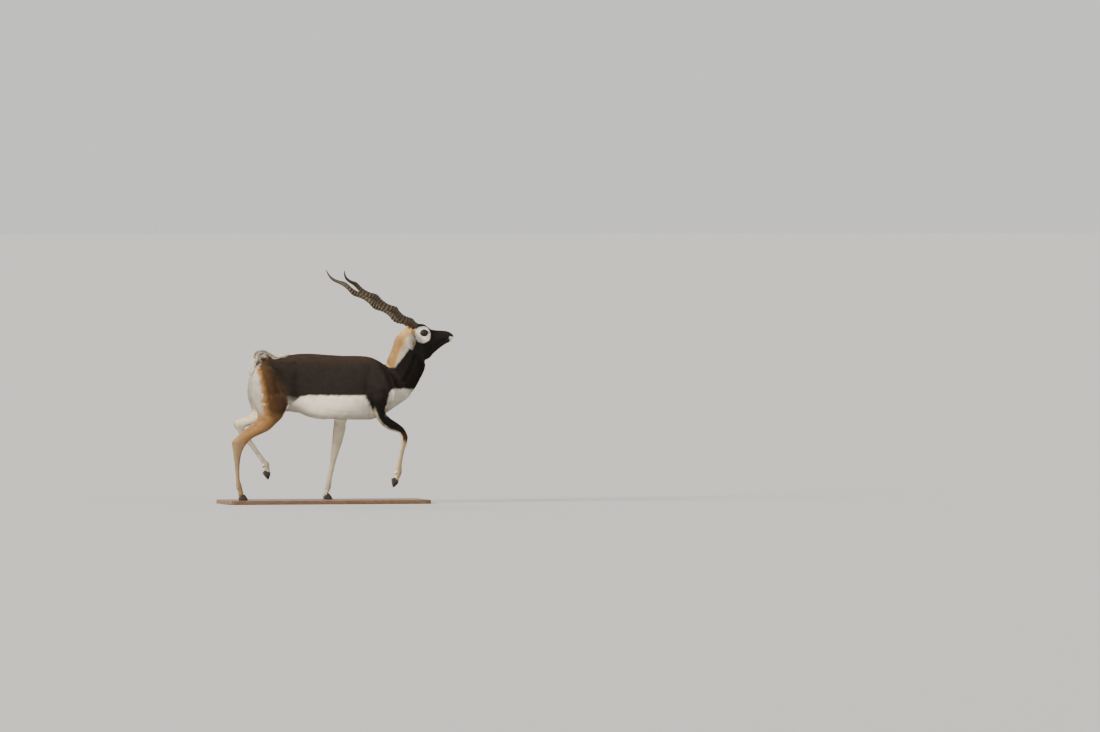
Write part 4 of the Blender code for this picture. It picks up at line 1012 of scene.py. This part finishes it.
# Horns.
def horn(side, look):
    base, second = Vector(HORN_AXIS[0]), Vector(HORN_AXIS[1])
    axis = np.array(smooth_rows(HORN_AXIS, 30))
    lengths = np.concatenate([[0], np.cumsum(np.linalg.norm(np.diff(axis, axis=0), axis=1))])
    lengths /= lengths[-1]
    rows, sides = 460, 56
    rings, ridge = [], []
    for i in range(rows):
        share = i / (rows - 1)
        at = Vector([float(np.interp(share, lengths, axis[:, k])) for k in range(3)])
        ahead = [float(np.interp(min(1, share + 0.02), lengths, axis[:, k])) for k in range(3)]
        behind = [float(np.interp(max(0, share - 0.02), lengths, axis[:, k])) for k in range(3)]
        run = (Vector(ahead) - Vector(behind)).normalized()
        out = run.cross(Vector((0, 0, 1))).normalized()
        high = out.cross(run)
        turn = tau * (share - HORN_TWIST_START) / HORN_TWIST_PITCH
        reach = HORN_TWIST_REACH * min(1, share / 0.12) * (1 - 0.3 * share)
        at += (high * cos(turn) + out * sin(turn)) * reach
        fade = float(ease(-0.01, 0.012, share) * ease(HORN_RINGED_LENGTH, HORN_RINGED_LENGTH - 0.14, share))
        radius = float(np.interp(share, *zip(*HORN_RADII)))
        ring = []
        for k in range(sides):
            a = tau * k / sides
            # Rings stand closer and lower towards the tip, lean a little, and fade on the inner side.
            phase = HORN_RINGS * share / HORN_RINGED_LENGTH + 0.16 * cos(a - turn)
            lean = phase - 0.05 * sin(tau * phase)
            wave = (0.5 + 0.5 * cos(tau * lean)) ** 4.5
            wide = 1 - 0.35 * (0.5 + 0.5 * cos(a - turn + 2.2))
            height = HORN_RING_HEIGHT * fade * wide * (wave - 0.3) * (1 + 0.25 * sin(3.7 * phase + 2 * a))
            grooves = (0.016 * sin(17 * a + 9 * share) + 0.011 * sin(29 * a - 20 * share)) * (1 - 0.8 * wave)
            oval = 1 + 0.05 * cos(2 * (a - turn))
            size = radius * (oval + height + grooves * min(1, 2 * (1 - share)))
            ring.append(Vector(mirrored(at + (high * cos(a) + out * sin(a)) * size, side)))
            ridge.append(wave * fade * wide)
        rings.append(ring)
    start = (second - base).normalized() * 1.5
    rings[0] = [p - Vector(mirrored(start, side)) for p in rings[0]]
    obj = skin_rings("fine_horn_" + ("left" if side > 0 else "right"), rings)
    share = np.repeat(np.linspace(0, 1, rows), sides)
    values = np.stack([np.array(ridge), share, np.zeros(len(share))], axis=1)
    paint_mesh(obj.data, "ridge", np.vstack([values, [(0, 0, 0), (0, 1, 0)]]))
    obj.data.shade_smooth()
    obj.data.materials.append(look)
    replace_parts(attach(obj, "root"), "horn_left" if side > 0 else "horn_right")


def horn_finish():
    f = Finish("horn_rings")
    ridge, share, _ = f.node("ShaderNodeSeparateColor", None, {0: f.attribute("ridge")[0]})[:3]
    worn = f.noise(160, 5, None, 0.65)
    broad = f.noise(22, 3)
    strands = f.noise(420, 4, None, 0.7)
    # The rings' tops are painted lighter, a painted highlight on the ridges, mixed with fine streaks of paler horn.
    colour = f.mix(f.span(ridge * 0.6 + strands * 0.7, 0.3, 1.05), (0.020, 0.014, 0.009), (0.135, 0.095, 0.05))
    colour = f.mix(f.span(broad, 0.35, 0.7, 0, 0.6), colour, (0.040, 0.029, 0.018))
    colour = f.mix(f.span(share, 0.8, 0.97, 0, 0.85), colour, (0.020, 0.015, 0.012))
    f.shader.inputs["Specular IOR Level"].default_value = 0.3
    f.set(Base_Color=colour, Roughness=f.span(worn, 0.3, 0.7, 0.50, 0.70) - f.span(share, 0.8, 1.0, 0, 0.16))
    return f.bump(worn + strands * 0.5, 0.0015, 0.8).material


# Eyes.
def eye(side, look):
    centre = Vector(mirrored(EYE_AT, side))
    sides, rows = 64, 40
    rings, iris = [], []
    for i in range(1, rows):
        a = pi * i / rows
        ring = []
        for k in range(sides):
            b = tau * k / sides
            ray = Vector((sin(a) * cos(b), side * cos(a), sin(a) * sin(b)))
            bulge = 1 + 0.018 * float(ease(0.55, 0.2, a))
            ring.append(centre + ray * EYE_RADIUS * bulge)
            pupil = hypot(ray.x / 0.36, ray.z / 0.20)
            iris.append((float(ease(1.1, 0.9, pupil)), float(ease(0.82, 0.66, hypot(ray.x, ray.z))), 0))
        rings.append(ring)
    obj = skin_rings("wet_eye_" + ("left" if side > 0 else "right"), rings)
    paint_mesh(obj.data, "iris", np.array([*iris, (1, 1, 0), (0, 0, 0)]))
    obj.data.shade_smooth()
    obj.data.materials.append(look)
    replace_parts(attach(obj, "root"), "eye_left" if side > 0 else "eye_right")


def eye_finish():
    f = Finish("wet_eye")
    pupil, iris, _ = f.node("ShaderNodeSeparateColor", None, {0: f.attribute("iris")[0]})[:3]
    streaks = f.noise(900, 3)
    colour = f.mix(iris, (0.02, 0.015, 0.012), f.mix(streaks, (0.010, 0.005, 0.003), (0.026, 0.012, 0.006)))
    f.set(Base_Color=f.mix(pupil, colour, (0.003, 0.003, 0.004)), Roughness=0.3, Coat_Weight=0.8, Coat_Roughness=0.02, Coat_IOR=1.36)
    f.shader.inputs["Specular IOR Level"].default_value = 0.1
    return f.material


def lid_rims(look):
    """The bare edges of the lids, lying on the eyes."""
    pieces = []
    for side in (1, -1):
        centre, t = Vector(mirrored(EYE_AT, side)), radians(LID_TILT)
        rings = []
        for k in range(72):
            a = tau * k / 72
            u = LID_OPENING[0] * cos(a)
            v = LID_OPENING[1] * (1 - 0.32 * abs(cos(a)) ** 3) * sin(a)
            x, z = u * cos(t) - v * sin(t), u * sin(t) + v * cos(t)
            ray = Vector((x, side * float(np.sqrt(max(1, (EYE_RADIUS + 0.4) ** 2 - x * x - z * z))), z))
            out = Vector((x, 0, z)).normalized()
            rings.append([centre + ray + (ray.normalized() * cos(b) + out * sin(b)) * 1.3 + out * 0.6
                          for b in (tau * j / 8 for j in range(8))])
        points = [p for ring in rings for p in ring]
        faces = [
            (i * 8 + j, i * 8 + (j + 1) % 8, (i + 1) % 72 * 8 + (j + 1) % 8, (i + 1) % 72 * 8 + j)
            for i in range(72) for j in range(8)]
        obj = object_of("lid_rim_" + ("left" if side > 0 else "right"), points, faces)
        obj.data.shade_smooth()
        obj.data.materials.append(look)
        pieces.append(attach(obj, "root"))
    return pieces


# Hooves.
def claw_ring(rear, front, inner, outer, height, pointed, side, count=28):
    ring = []
    for k in range(count):
        c, s = cos(tau * k / count), sin(tau * k / count)
        x = (rear + front) / 2 + (front - rear) / 2 * c
        # The cleft's side is flat, the outer wall round.
        s = max(s, -0.86) if s < 0 else s
        y = (inner + outer) / 2 + (outer - inner) / 2 * s * (1 - pointed * max(0, c) ** 2)
        y -= pointed * max(0, c) ** 2 * (outer - inner) / 4
        ring.append(Vector((x, side * y, height(x))))
    return ring


def hoof(end, which, coronet, turn, sole_gap, look):
    rear, front = CORONET_REAR, CORONET_FRONT
    slope = (front[1] - rear[1]) / (front[0] - rear[0])
    middle = Vector(((rear[0] + front[0]) / 2, 0, (rear[1] + front[1]) / 2))
    place = pitch_matrix(turn)
    for side, claw in ((1, "left"), (-1, "right")):
        inner, outer = CLEFT / 2, CLEFT / 2 + CLAW_WIDTH
        # Rear, front, inner and outer edges at each share of the way from the sole to the coronet, and the toe's taper.
        table = (
            (0.0, HOOF_HEEL + 3, HOOF_TOE - 4, inner + 1.6, outer - 2.2, 0.55),
            (0.02, HOOF_HEEL + 1.2, HOOF_TOE - 1.2, inner + 0.5, outer - 0.7, 0.52),
            (0.08, HOOF_HEEL, HOOF_TOE, inner, outer, 0.5),
            (0.4, HOOF_HEEL - 1.8, 20.5, inner, outer - 0.8, 0.44),
            (0.7, HOOF_HEEL - 2.6, 13.5, inner, outer - 2.2, 0.34),
            (0.93, rear[0] - 0.4, front[0] + 1.8, inner, outer - 3.8, 0.24),
            (0.98, rear[0] + 0.6, front[0] + 0.2, inner + 0.5, outer - 5.0, 0.2),
            (1.0, rear[0] + 3.0, front[0] - 2.5, inner + 1.5, outer - 7.0, 0.2),
        )
        rings = []
        for share, back, toe, near, far, taper in smooth_rows(table, 4):
            lean, brim = slope * share, sole_gap + share * (rear[1] - slope * rear[0] - sole_gap)
            ring = claw_ring(back, toe, near, far, lambda x: max(brim + lean * x, sole_gap), taper, side)
            rings.append([place @ (p - middle) + Vector(coronet) for p in ring])
        node = f"{end}_hoof_{which}_{claw}_claw"
        obj = skin_rings("fine_" + node, rings)
        obj.data.shade_smooth()
        obj.data.materials.append(look)
        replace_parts(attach(obj, "root"), node)


def hoof_finish():
    f = Finish("hoof_horn")
    bands = f.noise(130, 3, (1, 1, 5), 0.6)
    fine = f.noise(700, 2)
    colour = f.mix(f.span(bands, 0.35, 0.65), (0.012, 0.010, 0.008), (0.040, 0.029, 0.020))
    f.shader.inputs["Specular IOR Level"].default_value = 0.3
    f.set(Base_Color=colour, Roughness=f.span(fine, 0.3, 0.7, 0.38, 0.6))
    return f.bump(bands, 0.0006, 0.5).material


def wood_finish():
    f = Finish("oiled_board")
    rings = f.noise(4.5, 4, (1.0, 7.0, 7.0), 0.55)
    fibres = f.noise(60, 4, (1.0, 22.0, 22.0), 0.65)
    lines = f.node("ShaderNodeMath", {"operation": "FRACT"}, {0: rings * 9.0})[0]
    colour = f.node("ShaderNodeValToRGB", {"stops": (
        (0.0, (0.105, 0.055, 0.026)), (0.55, (0.185, 0.100, 0.049)), (1.0, (0.120, 0.064, 0.031)))}, {0: lines})[0]
    f.shader.inputs["Specular IOR Level"].default_value = 0.3
    dark = f.span(fibres, 0.35, 0.65, 0.72, 1.12)
    f.set(Base_Color=f.mix(1.0, colour, f.node("ShaderNodeCombineColor", None, {0: dark, 1: dark, 2: dark})[0], "MULTIPLY"))
    f.set(Roughness=f.span(fibres, 0.3, 0.7, 0.40, 0.56))
    return f.bump(fibres, 0.0004, 0.35).material


# The skin with its ears, in one object.
parts = [grown_copy(node) for node in FLESH if node != "tail"]
names = [node for node in FLESH if node != "tail"]
parts += [oval_tube(TAIL), oval_tube(TAIL_BEND)]
names += ["tail", "bend"]
for side in (1, -1):
    parts.append(ball(mirrored(EYE_AT, side), EYE_RADIUS + 1))
    names.append("eyes")
points, faces, owner = gather(parts)
whole_tree = BVHTree.FromPolygons(points, faces)
rough = bpy.data.meshes.new("skin")
rough.from_pydata([up(p) for p in points], [], faces)
skin = linked("skin", rough)
cover = skin.modifiers.new("cover", "REMESH")
cover.mode, cover.voxel_size, cover.adaptivity = "VOXEL", SKIN_VOXEL * MM, 0
settle(skin)
net = Net(skin.data)
net.relax(14)
net.write()
refine(skin.data, lambda at: (at[:, 0] > FACE_FROM) & (at[:, 2] > 720))


def fine_places(at):
    near = np.zeros(len(at), bool)
    for side in (1, -1):
        near |= far_from(at, mirrored(EYE_AT, side)) < 36
        near |= far_from(at, mirrored(NOSTRIL_AT, side)) < 16
        near |= far_from(at, mirrored(GLAND_AT, side)) < 17
    return near | (mouth_away(at)[0] < 7)


refine(skin.data, fine_places)
net = Net(skin.data)
net.relax(6, (net.at[:, 0] > FACE_FROM).astype(float))

ear_parts = [ear_shape(side) for side in (1, -1)]
kinds = Kinds(net, whole_tree, owner + [len(names)] * 2, [*names, "ears"])
shares = region_shares(kinds, 14)
normals = net.normals()
depth = sum(shares[name] * REGIONS[name][2] for name in REGIONS) * (1 - 0.9 * kinds.share(6, "bend"))
for side in (1, -1):
    _, radius, place = eye_places(net.at, side)
    depth *= 1 - 0.8 * ease(40, 28, radius)
depth = net.softened(depth * (1 - 0.8 * bare_nose(net.at)), 10)
net.at -= net.softened(normals, 2) * depth[:, None]
relieve(net)
# The crest of hair between the horns' roots.
net.at += net.softened(normals, 2) * (7 * ease(28, 8, far_from(net.at, (386, 0, 903))))[:, None]
net.relax(3)
carve_face(net)
net.relax(1, (net.at[:, 0] > FACE_FROM).astype(float))
net.write()

body_points = [Vector(p) for p in net.at]
body_faces = [list(p.vertices) for p in skin.data.polygons]
points, faces, from_part = gather([(body_points, body_faces), *ear_parts])
joined = bpy.data.meshes.new("skin")
joined.from_pydata([up(p) for p in points], [], faces)
shape = bmesh.new()
shape.from_mesh(joined)
bmesh.ops.recalc_face_normals(shape, faces=shape.faces)
bmesh.ops.triangulate(shape, faces=shape.faces)
shape.to_mesh(joined)
shape.free()
skin.data = joined
bpy.data.meshes.remove(net.mesh)
label = kinds.label
net = Net(joined)
kinds.net = net
kinds.label = np.concatenate([label, np.full(net.count - len(label), len(names))])
shares = region_shares(kinds, 16)
ears = kinds.of("ears").astype(float)
normals = net.normals()
soft = unit(net.softened(normals, 4))
flow = unit(net.softened(lie_of_coat(net.at, soft, shares, kinds), 6))
colour = markings(net.at, soft * (1 - ears[:, None]) + normals * ears[:, None], kinds, shares).clip(0, 1)
paint_mesh(joined, "markings", colour)
joined.shade_smooth()

bpy.context.view_layer.objects.active = skin
skin.select_set(True)
joined.uv_layers.new(name="OFBake")
bpy.ops.object.mode_set(mode="EDIT")
bpy.ops.mesh.select_all(action="SELECT")
bpy.ops.uv.smart_project(angle_limit=radians(66), island_margin=0.002)
bpy.ops.object.mode_set(mode="OBJECT")
skin.select_set(False)

skin_look = hair_finish("skin_under_coat", 900, 0.7)
joined.materials.append(skin_look)
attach(skin, "root")
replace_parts(skin, *FLESH, "ear_left", "ear_right")

# How each place is haired.
bare = bare_nose(net.at)
for side in (1, -1):
    _, radius, place = eye_places(net.at, side)
    bare = np.maximum(bare, ease(1.45, 1.25, place) * (radius < 40) * (net.at[:, 1] * side > 0))
    bare = np.maximum(bare, ease(9, 5, far_from(net.at, mirrored(NOSTRIL_AT, side))))
    bare = np.maximum(bare, ease(3.2, 1.8, mouth_away(net.at)[0]))
    bare = np.maximum(bare, 0.9 * ears * ease(0.1, -0.2, normals @ np.array(mirrored(EAR_BACK, side))) * (net.at[:, 1] * side > 0))
corners = vectors(joined.polygons, "vertices", 3, np.int32)
uvs = vectors(joined.uv_layers["OFBake"].data, "uv", 2).astype(float).reshape(-1, 3, 2)
values = {"at": net.at, "normal": soft, "flow": flow, "colour": colour, "long": shares["tail"]}
for number, what in ((0, "length"), (1, "width"), (3, "lift")):
    values[what] = sum(shares[name] * REGIONS[name][number] for name in REGIONS)
face_fine = ease(560, 600, net.at[:, 0])
near_eye = np.maximum(*(ease(45, 25, far_from(net.at, mirrored(EYE_AT, s))) for s in (1, -1)))
fine = 1 - 0.45 * np.maximum(face_fine, near_eye)
at_hoof = np.max([ease(26, 16, far_from(net.at, coronet)) for _, _, coronet, _, _ in FEET], axis=0)
values["length"] = values["length"] * fine * (1 + 0.5 * at_hoof)
values["width"] = values["width"] * fine
# Longer hair hangs from the tail's root down between the buttocks.
below_tail = ease(-424, -437, net.at[:, 0]) * ease(668, 704, net.at[:, 2]) * ease(768, 748, net.at[:, 2])
below_tail *= ease(36, 20, np.abs(net.at[:, 1])) * (1 - shares["tail"])
values["length"] = values["length"] + 24 * below_tail
values["long"] = np.maximum(values["long"], below_tail)
wanted = sum(shares[name] * REGIONS[name][4] for name in REGIONS) / 100 * (1 - bare) / fine**1.5
roots = plant((corners, uvs), values, wanted)
coat_look = hair_finish("coat", 1400)
stray = chance.random(len(roots["length"])) < 0.012
roots["length"] *= np.where(stray, 1.35, 1)
roots["lift"] *= np.where(stray, 1.35, 1)
long_hair = roots["long"] > 0.5
coat_pieces("coat", picked(roots, ~long_hair), coat_look)
coat_pieces("tail_coat", picked(roots, long_hair), coat_look, True)
uv_finder = BVHTree.FromPolygons([Vector(p) for p in net.at], corners.tolist())
fringe(whole_tree, lambda p: uvs[uv_finder.find_nearest(Vector(p))[2]][0], coat_look)

horn_look, hoof_look, eye_look = horn_finish(), hoof_finish(), eye_finish()
rim_look = Finish("lid_skin").set(Base_Color=(0.012, 0.009, 0.008), Roughness=0.35).material
for side in (1, -1):
    horn(side, horn_look)
    eye(side, eye_look)
lid_rims(rim_look)
for end, which, coronet, turn, gap in FEET:
    hoof(end, which, coronet, turn, gap, hoof_look)
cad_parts["stand_base"].material_slots[0].material = wood_finish()

# Floor, light and camera.
floor_mesh = bpy.data.meshes.new("floor")
floor_mesh.from_pydata([(-400, -400, 0), (400, -400, 0), (400, 400, 0), (-400, 400, 0)], [], [(0, 1, 2, 3)])
floor = linked("floor", floor_mesh)
floor.location.z = -0.0005
pale = Finish("pale_floor").set(Base_Color=(0.472, 0.468, 0.460), Roughness=0.9)
floor_mesh.materials.append(pale.material)

world = bpy.data.worlds.new("studio")
bpy.context.scene.world = world
world.use_nodes = True
world.node_tree.nodes["Background"].inputs[0].default_value = (1.0, 0.99, 0.97, 1)
world.node_tree.nodes["Background"].inputs[1].default_value = 0.85


def sun(name, energy, angle, towards, colour):
    light = bpy.data.lights.new(name, "SUN")
    light.energy, light.angle, light.color = energy, radians(angle), colour
    obj = linked_light(name, light)
    obj.rotation_mode = "QUATERNION"
    obj.rotation_quaternion = Vector(towards).to_track_quat("-Z", "Y")


def linked_light(name, light):
    obj = bpy.data.objects.new(name, light)
    bpy.context.scene.collection.objects.link(obj)
    return obj


sun("key", 6.5, 24, (0.88, 0.28, -0.38), (1.0, 0.92, 0.80))
sun("fill", 0.8, 40, (-0.45, 0.85, -0.3), (1.0, 1.0, 1.0))
sun("rim", 0.8, 25, (0.1, -0.8, -0.55), (1.0, 1.0, 1.0))

turn = radians(CAMERA_TURN)
behind = Vector((sin(turn), -cos(turn), 0))
right = Vector((cos(turn), sin(turn), 0))
swing = (PHOTO_MIDDLE[0] - ANIMAL_COLUMN) / PIXELS_PER_RADIAN
drop = (PHOTO_MIDDLE[1] - HORIZON_ROW) / PIXELS_PER_RADIAN
ahead = -behind * cos(swing) + right * sin(swing)
ahead = ahead * cos(drop) - Vector((0, 0, 1)) * sin(drop)
lens = bpy.data.cameras.new("camera")
lens.sensor_width, lens.lens = 36, 36 * PIXELS_PER_RADIAN / PHOTO_WIDTH
lens.clip_end = 2000
camera = bpy.data.objects.new("camera", lens)
bpy.context.scene.collection.objects.link(camera)
height = BOARD_TOP * MM + CAMERA_DISTANCE * tan((GROUND_ROW - HORIZON_ROW) / PIXELS_PER_RADIAN)
camera.location = behind * CAMERA_DISTANCE + Vector((0, 0, height))
camera.rotation_mode = "QUATERNION"
camera.rotation_quaternion = ahead.to_track_quat("-Z", "Y")
bpy.context.scene.camera = camera
